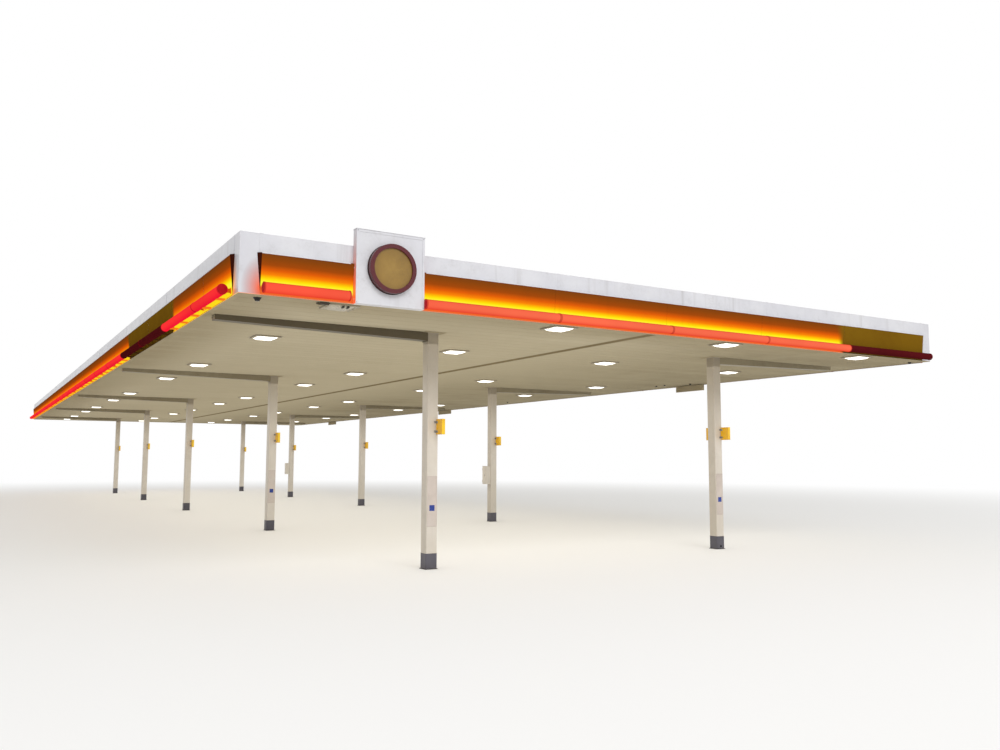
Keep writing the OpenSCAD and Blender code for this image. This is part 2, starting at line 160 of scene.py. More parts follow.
def addNode(kind, inputs=None, **settings):
    node = current["tree"].nodes.new(kind)
    for key, value in settings.items():
        setattr(node, key, value)
    for key, value in (inputs or {}).items():
        plug(value, node.inputs[key])
    return node


def wire(kind, output, inputs=None, **settings):
    return Wire(addNode(kind, inputs, **settings).outputs[output])


def calc(operation, a, b=0.0):
    return wire("ShaderNodeMath", 0, {0: a, 1: b}, operation=operation)


def clamp(value):
    value.socket.node.use_clamp = True
    return value


def larger(a, b):
    return calc("MAXIMUM", a, b)


def smaller(a, b):
    return calc("MINIMUM", a, b)


def vectorCalc(operation, a, b=(0, 0, 0)):
    output = "Value" if operation in ("DOT_PRODUCT", "LENGTH") else 0
    return wire("ShaderNodeVectorMath", output, {0: a, 1: b}, operation=operation)


def blend(factor, a, b):
    return wire("ShaderNodeMix", 2, {0: factor, 6: a, 7: b}, data_type="RGBA")


def ramp(value, low, high, toLow=0.0, toHigh=1.0, smooth=True):
    inputs = {"Value": value, "From Min": low, "From Max": high, "To Min": toLow, "To Max": toHigh}
    return wire("ShaderNodeMapRange", "Result", inputs, interpolation_type="SMOOTHSTEP" if smooth else "LINEAR")


def place():
    return wire("ShaderNodeTexCoord", "Object")


def split(vector):
    return [Wire(output) for output in addNode("ShaderNodeSeparateXYZ", {0: vector}).outputs]


def noise(vector, scale, detail=3.0, roughness=0.5):
    inputs = {"Vector": vector, "Scale": scale, "Detail": detail, "Roughness": roughness}
    return wire("ShaderNodeTexNoise", "Fac", inputs)


def distance(a, b):
    return calc("SQRT", a * a + b * b)


# Effects shared between the materials

def effect(*outputs, **inputs):  # turns the function below it into a node group
    def make(build):
        tree = current["tree"] = bpy.data.node_groups.new(build.__name__, "ShaderNodeTree")
        for label, value in inputs.items():
            kind = "NodeSocketVector" if isinstance(value, tuple) else "NodeSocketFloat"
            tree.interface.new_socket(label, in_out="INPUT", socket_type=kind).default_value = value
        for label in outputs:
            tree.interface.new_socket(label, in_out="OUTPUT", socket_type="NodeSocketFloat")
        given = list(tree.nodes.new("NodeGroupInput").outputs)[:len(inputs)]
        for value, end in zip(build(*map(Wire, given)), list(tree.nodes.new("NodeGroupOutput").inputs)):
            plug(value, end)
        return tree
    return make


def use(group, **inputs):
    node = addNode("ShaderNodeGroup", node_tree=group)
    for key, value in inputs.items():
        plug(value, node.inputs[key])
    return [Wire(output) for output in node.outputs]


@effect("Tone", Scale=1.0)
def toneDrift(scale):  # slow changes of tone over metres and over a hand's width
    slow, fast = noise(place(), scale, 3.0), noise(place(), scale * 9.0, 4.0, 0.6)
    return [ramp(slow * 0.7 + fast * 0.3, 0.36, 0.64)]


@effect("Mask", Scale=4.0, Amount=0.3)
def grime(scale, amount):  # patches of dirt
    wide, fine = noise(place(), scale, 6.0, 0.65), noise(place(), scale * 7.0, 6.0, 0.7)
    return [clamp(ramp(wide, 0.42, 0.72) * ramp(fine, 0.3, 0.7) * amount)]


@effect("Mask", Scale=14.0, Stretch=0.05, Amount=0.3)
def rainRuns(scale, stretch, amount):  # thin streaks down a face
    x, y, z = split(place())
    stretched = wire("ShaderNodeCombineXYZ", 0, {0: x, 1: y, 2: z * stretch})
    thin, wide = noise(stretched, scale, 5.0, 0.6), noise(stretched, scale * 0.12, 2.0)
    return [clamp(ramp(thin, 0.5, 0.75) * ramp(wide, 0.4, 0.6) * amount)]


@effect("Height", Scale=260.0)
def orangePeel(scale):  # the fine relief of sprayed or baked paint
    return [noise(place(), scale, 2.0) * 0.3 + noise(place(), scale * 0.04, 2.0)]


@effect("Mask", Height=0.4, Amount=0.5)
def splash(height, amount):  # dirt thrown up from the ground
    ragged = split(place())[2] + noise(place(), 22.0, 5.0, 0.7) * 0.12
    return [clamp(clamp(1.0 - ragged / height) ** 1.6 * amount)]


@effect("Mask", "Tone", Along=0.0, Start=0.0, Pitch=0.2, Width=0.01)
def seams(along, start, pitch, width):  # a line at each joint, and a tone that differs from piece to piece
    cells = (along - start) / pitch
    part = calc("FRACT", cells)
    gap = smaller(part, 1.0 - part) * pitch
    tone = wire("ShaderNodeTexWhiteNoise", "Value", {"W": calc("FLOOR", cells)}, noise_dimensions="1D")
    return [clamp(1.0 - gap / width), tone]


@effect("Mask", Direction=(0.0, 0.0, 1.0), From=0.4, To=0.7)
def facing(direction, low, high):  # 1 where the face looks along the direction
    look = vectorCalc("DOT_PRODUCT", wire("ShaderNodeNewGeometry", "Normal"), direction)
    return [ramp(look, low, high)]


@effect("Mask", Along=0.0, DarkFrom=90.0, DarkTo=91.0, Soft=0.02)
def litRun(along, darkFrom, darkTo, soft):  # 1 along the lit lengths, 0 along the dark ones
    away = abs(along - (darkFrom + darkTo) * 0.5) - (darkTo - darkFrom) * 0.5
    return [ramp(away, 0.0, soft)]


@effect("Mask", Point=(0.0, 0.0, 0.0), Squash=(1.0, 1.0, 1.0), Reach=0.1)
def glowSpot(point, squash, reach):  # light spilled on a face near a point, fading to nothing at the reach
    away = vectorCalc("MULTIPLY", vectorCalc("SUBTRACT", place(), point), squash)
    return [clamp(1.0 - vectorCalc("LENGTH", away) / reach) ** 1.7]


def faces(direction, low=0.4, high=0.7):
    return use(facing, Direction=direction, From=low, To=high)[0]


def litAlong(side, soft):
    x, y, z = split(place())
    darkFrom, darkTo = darkRuns[side]
    along = x if seenTwin[side] == "front" else y
    return use(litRun, Along=along, DarkFrom=darkFrom, DarkTo=darkTo, Soft=soft)[0]


def outTowards(side):  # how far a place lies out past a side of the roof
    return vectorCalc("DOT_PRODUCT", place(), outward[side]) - sideReach[side]


print("shared effects made")


# Materials

black = (0.0, 0.0, 0.0, 1.0)


def paint(red, green, blue):  # a colour as it looks on screen, 0 to 255
    def linear(c):
        return c / 255 / 12.92 if c <= 10 else ((c / 255 + 0.055) / 1.055) ** 2.4
    return (linear(red), linear(green), linear(blue), 1.0)


def tones(colour, second, dirtColour=None):
    given = {"colour": colour, "second": second, "dirtColour": dirtColour}
    return {key: paint(*value) for key, value in given.items() if value}


def startMaterial(name):
    material = bpy.data.materials.new(name)
    material.use_nodes = True
    current["tree"] = material.node_tree
    current["shader"] = material.node_tree.nodes["Principled BSDF"]
    return material


def setShader(values):
    for key, value in values.items():
        plug(value, current["shader"].inputs[key])


def setGlow(colour, strength=1.0):
    setShader({"Emission Color": colour, "Emission Strength": strength})


def addedLight(look, shown, over):  # what a face has to give off to look as shown under the room's light
    return [max(t - look["roomLight"] * c, 0.0) for t, c in zip(paint(*shown)[:3], over)] + [1.0]


def finishSurface(look, colour, dirt):
    height = use(orangePeel, Scale=look.get("grain", 260.0))[0]
    relief = {"Height": height, "Strength": look.get("relief", 0.25), "Distance": 0.0006}
    setShader({
        "Base Color": colour, "Roughness": ramp(dirt, 0.0, 1.0, *look["rough"], False),
        "Normal": wire("ShaderNodeBump", 0, relief), "Metallic": look.get("metal", 0.0),
        "Coat Weight": look.get("coat", 0.0), "Specular IOR Level": look.get("shine", 0.4),
    })


def wornColour(look, colour=None):
    tone = use(toneDrift, Scale=look.get("toneScale", 1.2))[0]
    colour = blend(tone, colour or look["colour"], look["second"])
    dirt = use(grime, Scale=look.get("dirtScale", 5.0), Amount=look["dirt"])[0]
    if look.get("runs"):
        dirt = larger(dirt, use(rainRuns, Scale=look.get("runScale", 14.0), Amount=look["runs"])[0])
    if look.get("splash"):
        dirt = larger(dirt, use(splash, Height=look["splash"], Amount=0.55)[0])
    return blend(dirt, colour, look["dirtColour"]), dirt


def paintedMetal(name, look):
    material = startMaterial(name)
    finishSurface(look, *wornColour(look))
    return material


columnLook = {
    **tones((214, 207, 196), (205, 197, 184), (134, 122, 104)), "dirt": 0.16, "runs": 0.1, "splash": 0.26,
    "rough": (0.36, 0.6), "coat": 0.08, "toneScale": 0.8, "dirtScale": 3.0,
    # painted shade: the columns darken up under the roof and on the faces that look left
    "shade": paint(142, 130, 109), "shadeDepth": 1.1, "shadeMost": 0.76, "leftShade": 0.28,
}
bandLook = {
    **tones((92, 90, 98), (80, 78, 87), (74, 66, 60)), "dirt": 0.5, "splash": 0.14, "rough": (0.5, 0.75),
    "dirtScale": 9.0,
}
trimLook = {
    **tones((176, 164, 137), (166, 154, 128), (116, 104, 82)), "dirt": 0.3, "rough": (0.35, 0.6), "shine": 0.0,
}
# painted shade: the beams' taupe is kept darker than the deck for the shade they hang in, and the dark colour is deeper
# painted shade on the near cantilever
beamLook = {
    **tones((152, 142, 118), (140, 130, 107), (98, 88, 70)), "dirt": 0.35, "runs": 0.2, "rough": (0.45, 0.7),
    "shine": 0.25, "dark": paint(88, 79, 61), "darkAt": 0.9,
}
sheetLook = {
    **tones((214, 214, 218), (203, 203, 209), (140, 134, 128)), "dirt": 0.26, "runs": 0.35, "runScale": 9.0,
    # the last colour is painted shade under the bars' painted light on the corner posts and the sign board
    "rough": (0.34, 0.58), "coat": 0.15, "toneScale": 0.6, "shadeUnderGlow": paint(128, 48, 26),
}
housingLook = {
    **tones((170, 160, 138), (158, 147, 125), (104, 93, 74)), "dirt": 0.4, "rough": (0.4, 0.62), "dirtScale": 16.0,
    "shine": 0.25,
}
plasticLook = {
    **tones((18, 17, 16), (26, 25, 23), (60, 54, 45)), "dirt": 0.3, "rough": (0.25, 0.5), "coat": 0.05,
    "dirtScale": 18.0, "relief": 0.05, "shine": 0.25,
}
boltLook = {
    **tones((168, 168, 164), (150, 150, 148), (112, 84, 60)), "dirt": 0.6, "rough": (0.28, 0.6), "metal": 0.85,
    "dirtScale": 30.0,
}
rubberLook = {
    **tones((44, 42, 42), (54, 51, 50), (104, 96, 86)), "dirt": 0.5, "rough": (0.6, 0.85), "dirtScale": 25.0,
}
paperLook = {
    **tones((206, 195, 186), (196, 184, 174), (150, 140, 128)), "dirt": 0.3, "rough": (0.25, 0.5), "coat": 0.3,
    "dirtScale": 14.0, "relief": 0.1,
}
blueLook = {
    **tones((26, 50, 130), (32, 60, 146), (84, 96, 130)), "dirt": 0.3, "rough": (0.25, 0.45), "coat": 0.3,
    "dirtScale": 30.0, "relief": 0.08,
}


def shadedColumn(look):  # the same paint with painted shade, darker up under the roof and on the faces that look left
    material = startMaterial("columnPaint")
    shade = ramp(split(place())[2], roof["soffit"] - look["shadeDepth"], roof["soffit"], 0.0, look["shadeMost"])
    shade = larger(shade, faces((-1.0, 0.0, 0.0)) * look["leftShade"])
    worn, dirt = wornColour(look)
    finishSurface(look, blend(shade, worn, look["shade"]), dirt)
    return material


def nearBeam(look):  # painted shade: the near cantilever left of the first column is in the dark
    material = startMaterial("beamPaintNear")
    edge = columns[0][1][0]
    worn, dirt = wornColour(look)
    left = ramp(split(place())[0], edge, edge + 0.1, look["darkAt"], 0.0)
    finishSurface(look, blend(left, worn, look["dark"]), dirt)
    return material


gutterLook = {
    **tones((134, 121, 94), (126, 113, 87), (92, 82, 62)), "dirt": 0.3, "rough": (0.45, 0.7), "shine": 0.0,
    "dirtScale": 3.0,
}
deckLook = {
    **tones((196, 186, 161), (186, 176, 150), (128, 114, 88)), "rightColour": paint(153, 142, 118),
    # painted shade: the deck darkens towards its front, left and back edges
    "edgeShadeColour": paint(160, 147, 120), "edgeShadeReach": 0.9, "gutterShade": 0.066, "gutterFade": 0.012,
    "dirt": 0.14, "rough": (0.3, 0.6), "relief": 0.02, "shine": 0.0, "grain": 60.0,
    "dirtScale": 1.2, "toneScale": 0.35, "seam": 0.15, "seamWide": 0.02,
    "roofColour": paint(176, 178, 176), "roofDirt": paint(126, 122, 112),
    "pan": 0.203, "panShift": 57,  # the right half takes its tones that many pans further on
    "gutter": (gutterBox[0].x + gutterBox[1].x) / 2,
}


def deckSheet(look):
    material = startMaterial("deckSheet")
    x, y, z = split(place())
    gutter, reach = look["gutter"], look["gutterShade"]
    shift = calc("GREATER_THAN", x, gutter) * (look["panShift"] * look["pan"])
    seam, tone = use(seams, Along=y + shift, Start=roof["front"], Pitch=look["pan"], Width=look["seamWide"])
    base = blend(ramp(x, gutter - 0.6, gutter + 2.6), look["colour"], look["rightColour"])
    # painted shade, darker towards the front, left and back edges
    edge = smaller(smaller(y - roof["front"], x - roof["left"]), roof["back"] - y)
    base = blend(ramp(edge, look["edgeShadeReach"], 0.0, 0.0, 0.9), base, look["edgeShadeColour"])
    base = blend(tone * 0.3, base, look["second"])
    colour, dirt = wornColour(look, base)
    colour = blend(0.5, colour, base)
    colour = blend(seam ** 2.0 * look["seam"], colour, look["dirtColour"])
    # painted shade and dirt: the deck next to the trough takes the trough's darker colour
    nearGutter = ramp(abs(x - gutter), reach, reach - look["gutterFade"])
    colour = blend(nearGutter * 0.9, colour, gutterLook["colour"])
    above = faces((0.0, 0.0, 1.0))  # the roof side is bare coated sheet with wash marks
    zinc = blend(use(grime, Scale=2.5, Amount=0.8)[0], look["roofColour"], look["roofDirt"])
    finishSurface(look, blend(above, colour, zinc), larger(dirt, above))
    return material


zincLook = {
    **tones((150, 152, 152), (160, 162, 162), (118, 112, 100)), "flake": paint(182, 184, 184), "flakeScale": 55.0,
    "dirt": 0.45, "runs": 0.2, "rough": (0.35, 0.65), "metal": 0.6, "relief": 0.1,
}


def galvanised(look):
    material = startMaterial("galvanised")
    spangle = wire("ShaderNodeTexVoronoi", "Color", {"Vector": place(), "Scale": look["flakeScale"]})
    grey = split(spangle)[0]
    colour, dirt = wornColour(look, blend(grey, look["colour"], look["flake"]))
    finishSurface(look, colour, larger(dirt, grey * 0.4))
    return material


panelLook = {
    # painted light: the bar's light on the lit face, from the bar up: yellow, orange, then brown
    "shown": {
        0.0: (255, 248, 60), 0.1: (255, 234, 14), 0.18: (254, 194, 2), 0.27: (251, 134, 2), 0.42: (222, 92, 3),
        0.6: (158, 70, 12), 0.8: (134, 66, 14), 1.0: (112, 60, 22),
    },
    "shownFrom": 0.094, "foot": {"front": (240, 104, 44), "left": (255, 222, 30)}, "footFade": (0.05, 0.08),
    "base": paint(92, 46, 10), "dark": paint(122, 90, 20), "second": paint(84, 46, 12),
    # painted shade: the panel's faces that don't look out, such as the flared ends, are dark maroon
    "wedge": paint(58, 22, 14), "inner": paint(186, 186, 184), "dirtColour": paint(70, 50, 24), "dirt": 0.25,
    "runs": 0.2, "rough": (0.5, 0.7), "relief": 0.08, "shine": 0.0, "roomLight": 0.85, "glow": 1.0,
}


def litPanel(side, look):
    material = startMaterial("yellowPanel_" + side)
    z, soffit = split(place())[2], roof["soffit"]
    height = ramp(z, soffit + look["shownFrom"], soffit + panelHeight, smooth=False)
    lit = litAlong(side, height * 0.08 + 0.1)
    base = blend(lit, look["dark"], look["base"])
    outer, inner = faces(outward[side], 0.8, 0.92), faces(tuple(-c for c in outward[side]))
    worn, dirt = wornColour(look, base)
    # painted shade on the faces that don't look out
    colour = blend(outer, look["wedge"], blend(0.75, worn, base))
    finishSurface(look, blend(inner, colour, look["inner"]), dirt)
    # painted light: the bar's light washing up the lit panel, with the foot of the panel given its own colour
    stops = addNode("ShaderNodeValToRGB", {"Fac": height})
    elements = stops.color_ramp.elements
    for k, (position, shown) in enumerate(look["shown"].items()):
        stop = elements[k] if k < 2 else elements.new(position)
        stop.position, stop.color = position, addedLight(look, shown, look["base"])
    foot = addedLight(look, look["foot"][seenTwin[side]], look["base"])
    shown = blend(ramp(z, *(soffit + up for up in look["footFade"])), foot, stops.outputs[0])
    setGlow(blend(lit * outer * (1.0 - dirt * 0.4), black, shown), look["glow"])
    return material


barLook = {
    "front": {"centre": (255, 112, 78), "edge": (238, 62, 42)},
    "left": {"centre": (255, 52, 54), "edge": (246, 18, 54)},
    "nearEnd": (255, 88, 64), "line": (192, 42, 14), "ring": paint(104, 10, 20), "cap": paint(150, 8, 24),
    **tones((84, 20, 24), (74, 16, 20), (60, 26, 22)), "bracket": paint(196, 104, 20), "dirt": 0.25, "runs": 0.15,
    "rough": (0.45, 0.65), "relief": 0.05, "shine": 0.0, "roomLight": 0.85, "ringLight": 0.55, "capLight": 0.6,
    "glow": 1.0,
}


def litBar(side, look):
    material = startMaterial("redBar_" + side)
    x, y, z = split(place())
    frontal, half = seenTwin[side] == "front", barHeight / 2
    lit = litAlong(side, 0.004)
    height = z - (roof["soffit"] + barAxisUp)
    radius = distance(outTowards(side) - barAxisOut, height)
    ring = ramp(radius, half - 0.0014, half - 0.0008)
    cap = larger(*(faces((way, 0, 0) if frontal else (0, way, 0)) for way in (-1, 1)))
    outside = ramp(radius, half + 0.001, half + 0.002)
    colour, dirt = wornColour(look)
    for part, name in ((ring, "ring"), (cap, "cap"), (outside, "bracket")):
        colour = blend(part, colour, look[name])
    finishSurface(look, colour, dirt)
    shown = {**look, **look[seenTwin[side]]}
    centre, edge, nearEnd, line = (
        addedLight(look, shown[name], look["colour"]) for name in ("centre", "edge", "nearEnd", "line")
    )
    if frontal:
        centre = blend(ramp(x, roof["left"], signBox[1].x + 1.0), nearEnd, centre)
    bow = height / half
    glow = blend(ramp(bow, 0.72, 0.9), blend(abs(bow) ** 3.0, centre, edge), line)
    uneven = ramp(noise(place(), 1.4, 2.0), 0.3, 0.7, 0.9, 1.0)
    dimmed = (1.0 - ring * (1 - look["ringLight"])) * (1.0 - cap * (1 - look["capLight"])) * (1.0 - outside)
    setGlow(blend(lit * uneven * dimmed, black, glow), look["glow"])
    return material


barCentreZ = roof["soffit"] + barAxisUp
leftBarStart = roof["back"] - bars["left"][-1][1][0]
# painted light: the bars' light spilled on the corner posts and on the sides of the sign board
cornerGlow = [
    {"at": (bandBox[0].x, roof["front"], barCentreZ + 0.01), "reach": 0.15, "squash": (1.0, 1, 0.62),
     "facing": (0, -1, 0), "colour": paint(232, 96, 48)},
    {"at": (roof["left"], leftBarStart, barCentreZ + 0.02), "reach": 0.17, "squash": (1, 1.1, 0.65),
     "facing": (-1, 0, 0), "colour": paint(255, 160, 20)},
]
signGlow = [
    {"at": (signBox[k].x, roof["front"] - barAxisOut, barCentreZ), "reach": 0.42, "squash": (1, 1, 0.75),
     "facing": (2 * k - 1, 0, 0), "colour": paint(250, 92, 20)} for k in (0, 1)
]


def glowingSheet(name, look, spots):
    material = startMaterial(name)
    colour, dirt = wornColour(look)
    glow = black
    # painted light where the bars' light spills, with painted shade in dark maroon under it
    for spot in spots:
        spill = use(glowSpot, Point=spot["at"], Squash=spot["squash"], Reach=spot["reach"])[0]
        spill = spill * faces(spot["facing"])
        glow = blend(spill, glow, spot["colour"])
        colour = blend(spill ** 0.5, colour, look["shadeUnderGlow"])
    finishSurface(look, colour, dirt)
    setGlow(glow)
    return material


# painted light: the bars' light on the soffit trim's outer edge, on the saddles and bracket plates under the bars, and
# on the panel feet
edgeLook = {
    **trimLook, "glowDepth": 0.3,  # only what lies that near to a side glows with it
    "glowColours": {"front": paint(236, 99, 52), "left": paint(250, 190, 30), "back": paint(236, 99, 52)},
}
panelFootLook = {**edgeLook, **tones((96, 74, 30), (84, 64, 26))}
capLook = {
    **tones((186, 10, 28), (164, 8, 24), (70, 20, 22)), "dirt": 0.3, "rough": (0.4, 0.6), "shine": 0.1,
    "dirtScale": 20.0, "relief": 0.05,
}
saddleLook = {
    **capLook, **tones((88, 62, 24), (80, 54, 22)), "shine": 0.0, "glowsAllRound": True, "glowDepth": 0.3,
    "glowColours": {side: paint(236, 116, 24) for side in ("front", "left", "back")},
}


def soffitEdge(look):
    material = startMaterial("soffitEdge")
    finishSurface(look, *wornColour(look))
    # painted light from the bars along their lit lengths
    glow = black
    for side, shown in look["glowColours"].items():
        lit = litAlong(side, 0.03) * calc("GREATER_THAN", outTowards(side), -look["glowDepth"])
        if not look.get("glowsAllRound"):
            lit = lit * faces(outward[side])
        glow = blend(lit, glow, shown)
    setGlow(glow)
    return material


discLook = {
    **tones((156, 124, 58), (132, 102, 44), (92, 72, 38)), "outer": paint(136, 104, 42), "rim": 0.034,
    "rimColour": paint(84, 20, 28), "dirt": 0.3, "runs": 0.2, "rough": (0.2, 0.45), "coat": 0.2, "relief": 0.06,
}


def signFace(look):
    material = startMaterial("signDisc")
    x, y, z = split(place())
    middle, radius = (discBox[0] + discBox[1]) / 2, (discBox[1].x - discBox[0].x) / 2
    away = distance(x - middle.x, z - middle.z)
    rim = ramp(away, radius - look["rim"] - 0.0006, radius - look["rim"])
    worn, dirt = wornColour(look, blend(ramp(away, 0.02, radius), look["colour"], look["outer"]))
    finishSurface(look, blend(rim, worn, look["rimColour"]), dirt)
    return material


lensLook = {
    **tones((206, 198, 178), (196, 187, 165), (140, 128, 104)), "dirt": 0.25, "rough": (0.2, 0.4),
    "light": paint(255, 254, 251), "edgeLight": paint(255, 251, 240), "glow": 2.2, "prism": 0.004,
    "unlitAt": (unlitLight[0] + unlitLight[1]) / 2, "unlitReach": 0.15,
}


def lensGlass(look):
    material = startMaterial("lightLens")
    x, y, z = split(place())
    away = larger(*(abs(value - middle) for value, middle in zip((x, y), look["unlitAt"])))
    dark = calc("LESS_THAN", away, look["unlitReach"])
    finishSurface(look, *wornColour(look))
    prisms = calc("PINGPONG", x, look["prism"]) + calc("PINGPONG", y, look["prism"])
    setShader({"Normal": wire("ShaderNodeBump", 0, {"Height": prisms, "Strength": 0.5, "Distance": 1.0})})
    setGlow(blend(dark, blend(noise(place(), 9.0), look["light"], look["edgeLight"]), black), look["glow"])
    return material


flagLook = {
    **tones((250, 208, 30), (232, 178, 20), (150, 108, 30)), "faceColour": paint(236, 178, 14), "dirt": 0.3,
    "rough": (0.25, 0.5), "coat": 0.3, "relief": 0.08, "dirtScale": 14.0, "toneScale": 3.0,
}


def flagPaint(look):
    material = startMaterial("flagPaint")
    sides = larger(faces((1, 0, 0)), faces((-1, 0, 0)))
    finishSurface(look, *wornColour(look, blend(sides, look["colour"], look["faceColour"])))
    return material


materials = {
    "column": shadedColumn(columnLook),
    "beamNear": nearBeam(beamLook),
    "post": glowingSheet("cornerSheet", sheetLook, cornerGlow),
    "sign": glowingSheet("signSheet", sheetLook, signGlow),
    "soffitEdge": soffitEdge(edgeLook),
    "saddle": soffitEdge(saddleLook),
    "panelFoot": soffitEdge(panelFootLook),
    "deck": deckSheet(deckLook),
    "zinc": galvanised(zincLook),
    "disc": signFace(discLook),
    "lens": lensGlass(lensLook),
    "flag": flagPaint(flagLook),
}
for key, name, look in (
    ("cabinet", "cabinetPaint", columnLook), ("band", "bandPaint", bandLook), ("trim", "trimPaint", trimLook),
    ("beam", "beamPaint", beamLook), ("gutter", "gutterPaint", gutterLook), ("sheet", "whiteSheet", sheetLook),
    ("housing", "housingPaint", housingLook), ("plastic", "darkPlastic", plasticLook), ("bolt", "boltSteel", boltLook),
    ("rubber", "rubber", rubberLook), ("paper", "noticePaper", paperLook), ("blue", "noticeBlue", blueLook),
    # the paint of the dark wedge by the unlit light is painted shade
    ("cap", "barCap", capLook), ("shadeWedge", "shadeWedgePaint", {**plasticLook, **tones((74, 67, 54), (60, 54, 44))}),
    ("rimPaint", "rimPaint", {**discLook, "colour": discLook["rimColour"], "second": discLook["rimColour"]}),
):
    materials[key] = paintedMetal(name, look)
for side in outward:
    materials["panel_" + side] = litPanel(side, panelLook)
    materials["bar_" + side] = litBar(side, barLook)
print("materials made:", len(materials))


# Materials and eased edges of the CAD nodes

nodeFinish = {
    "columns_row": ("column", 0), "base_bands": ("band", 0.0008), "column_collars": ("trim", 0.001),
    "beams_row_1": ("beamNear", 0.0012), "beams_row": ("beam", 0.0012), "joists": ("zinc", 0),
    "deck_bay": ("deck", 0), "center_gutter": ("gutter", 0), "fascia_frame": ("zinc", 0),
    "soffit_trim": ("soffitEdge", 0.0012), "white_band": ("sheet", 0.002), "corner_posts": ("post", 0.002),
    "sign_board": ("sign", 0.003), "sign_disc": ("disc", 0.002), "light_housings": ("housing", 0.0015),
    "light_lenses": ("lens", 0), "edge_domes": ("plastic", 0), "hanging_boards": ("trim", 0.002),
    "column_signs": ("flag", 0.0025), "column_cabinets": ("cabinet", 0.003),
}
for side in outward:
    nodeFinish["yellow_panel_" + side] = ("panel_" + side, 0.002)
    nodeFinish["red_bar_" + side] = ("bar_" + side, 0.0008)


def easeEdges(piece, width):
    weld = piece.modifiers.new("weld", "WELD")
    weld.merge_threshold = 1e-5
    bevel = piece.modifiers.new("bevel", "BEVEL")
    bevel.width, bevel.segments, bevel.limit_method = width, 2, "ANGLE"
    bevel.angle_limit = math.radians(40)
    bevel.harden_normals = True


for node, piece in cadNodes.items():
    finish, edge = next(value for start, value in nodeFinish.items() if node.startswith(start))
    for slot in piece.material_slots:
        slot.material = materials[finish]
    if edge:
        easeEdges(piece, edge)
print("CAD nodes finished")


# Mesh helpers: a template is (points, faces)

quadrants = ((-1, -1), (1, -1), (1, 1), (-1, 1))
down, up = (0, 0, -1), (0, 0, 1)


def softBox(low, high, edge):  # a box with its edges cut back
    low, high = np.array(low, float), np.array(high, float)
    middle, half = (low + high) / 2, (high - low) / 2
    spots = list(itertools.product(itertools.product((-1, 1), repeat=3), range(3)))
    points = [middle + np.array(corner) * (half - np.where(np.arange(3) == axis, 0, edge)) for corner, axis in spots]
    index = {spot: k for k, spot in enumerate(spots)}

    def at(key, axis, *signs):  # the signs are along the axis and the two after it
        return index[tuple(np.roll(signs, axis).tolist()), key]

    faces = [[3 * k, 3 * k + 1, 3 * k + 2] for k in range(8)]
    for axis in range(3):
        u, v = (axis + 1) % 3, (axis + 2) % 3
        faces += [
            [at(key, axis, end, su, sv) for end, key in ((-1, u), (1, u), (1, v), (-1, v))] for su, sv in quadrants
        ]
        faces += [[at(axis, axis, side, su, sv) for su, sv in quadrants] for side in (-1, 1)]
    return points, faces


def pad(wide, tall, low, high, edge):
    return softBox((-wide / 2, -tall / 2, low), (wide / 2, tall / 2, high), edge)


def lathe(profile, steps):  # (radius, height) from the top down
    turns = [2 * math.pi * k / steps for k in range(steps)]
    points = [
        (radius * math.cos(turn), radius * math.sin(turn), height) for radius, height in profile for turn in turns
    ]
    faces = []
    for start in range(0, len(points) - steps, steps):
        for k in range(steps):
            a, b = start + k, start + (k + 1) % steps
            faces.append([a, b, b + steps, a + steps])
    return points, faces + [list(range(steps)), list(range(len(points) - steps, len(points)))]


def mitredFrame(width, height, profile):  # a closed (out, up) profile carried round a rectangle
    points = [
        (sx * (width / 2 + out), sy * (height / 2 + out), lift) for out, lift in profile for sx, sy in quadrants
    ]
    faces = []
    for k in range(len(profile)):
        a, b = 4 * k, 4 * ((k + 1) % len(profile))
        faces += [[a + c, a + (c + 1) % 4, b + (c + 1) % 4, b + c] for c in range(4)]
    return points, faces


def extrude(outline, start, end):  # an outline of (y, z) points carried along x
    count = len(outline)
    points = [(x, y, z) for x in (start, end) for y, z in outline]
    faces = [[k, (k + 1) % count, count + (k + 1) % count, count + k] for k in range(count)]
    return points, faces + [list(range(count)), list(range(count, 2 * count))]


def scaled(template, factor):
    points, faces = template
    return np.array(points, float) * factor, faces


def stamp(template, matrices):
    points, faces = template
    flat = np.c_[np.array(points, float), np.ones(len(points))]
    return [((flat @ np.array(matrix).T)[:, :3], faces) for matrix in matrices]


def facingMatrix(point, normal, upward=(0, 0, 1)):  # local z along the normal, local y as near upward as it goes
    z = Vector(normal).normalized()
    x = Vector(upward).cross(z).normalized()
    return Matrix.Translation(point) @ Matrix((x, z.cross(x), z)).transposed().to_4x4()


def under(x, y, z):
    return facingMatrix((x, y, z), down, (0, 1, 0))


def ahead(x, y, z):
    return facingMatrix((x, y, z), (0, -1, 0))


def shifted(x, y, z):
    return Matrix.Translation((x, y, z))


def corners(width, height, lift=0.0):
    return [shifted(sx * width, sy * height, lift) for sx, sy in quadrants]


def makePiece(name, parts, material, smooth=35):
    points, faces, count = [], [], 0
    for partPoints, partFaces in parts:
        points.append(np.array(partPoints, float))
        faces += [[count + k for k in face] for face in partFaces]
        count += len(partPoints)
    mesh = bpy.data.meshes.new(name)
    mesh.from_pydata(np.concatenate(points).tolist(), [], faces)
    work = bmesh.new()
    work.from_mesh(mesh)
    bmesh.ops.recalc_face_normals(work, faces=work.faces)
    work.to_mesh(mesh)
    work.free()
    mesh.polygons.foreach_set("use_smooth", [True] * len(mesh.polygons))
    mesh.set_sharp_from_angle(angle=math.radians(smooth))
    mesh.materials.append(materials[material])
    piece = bpy.data.objects.new(name, mesh)
    bpy.context.scene.collection.objects.link(piece)
    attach(piece, "root")


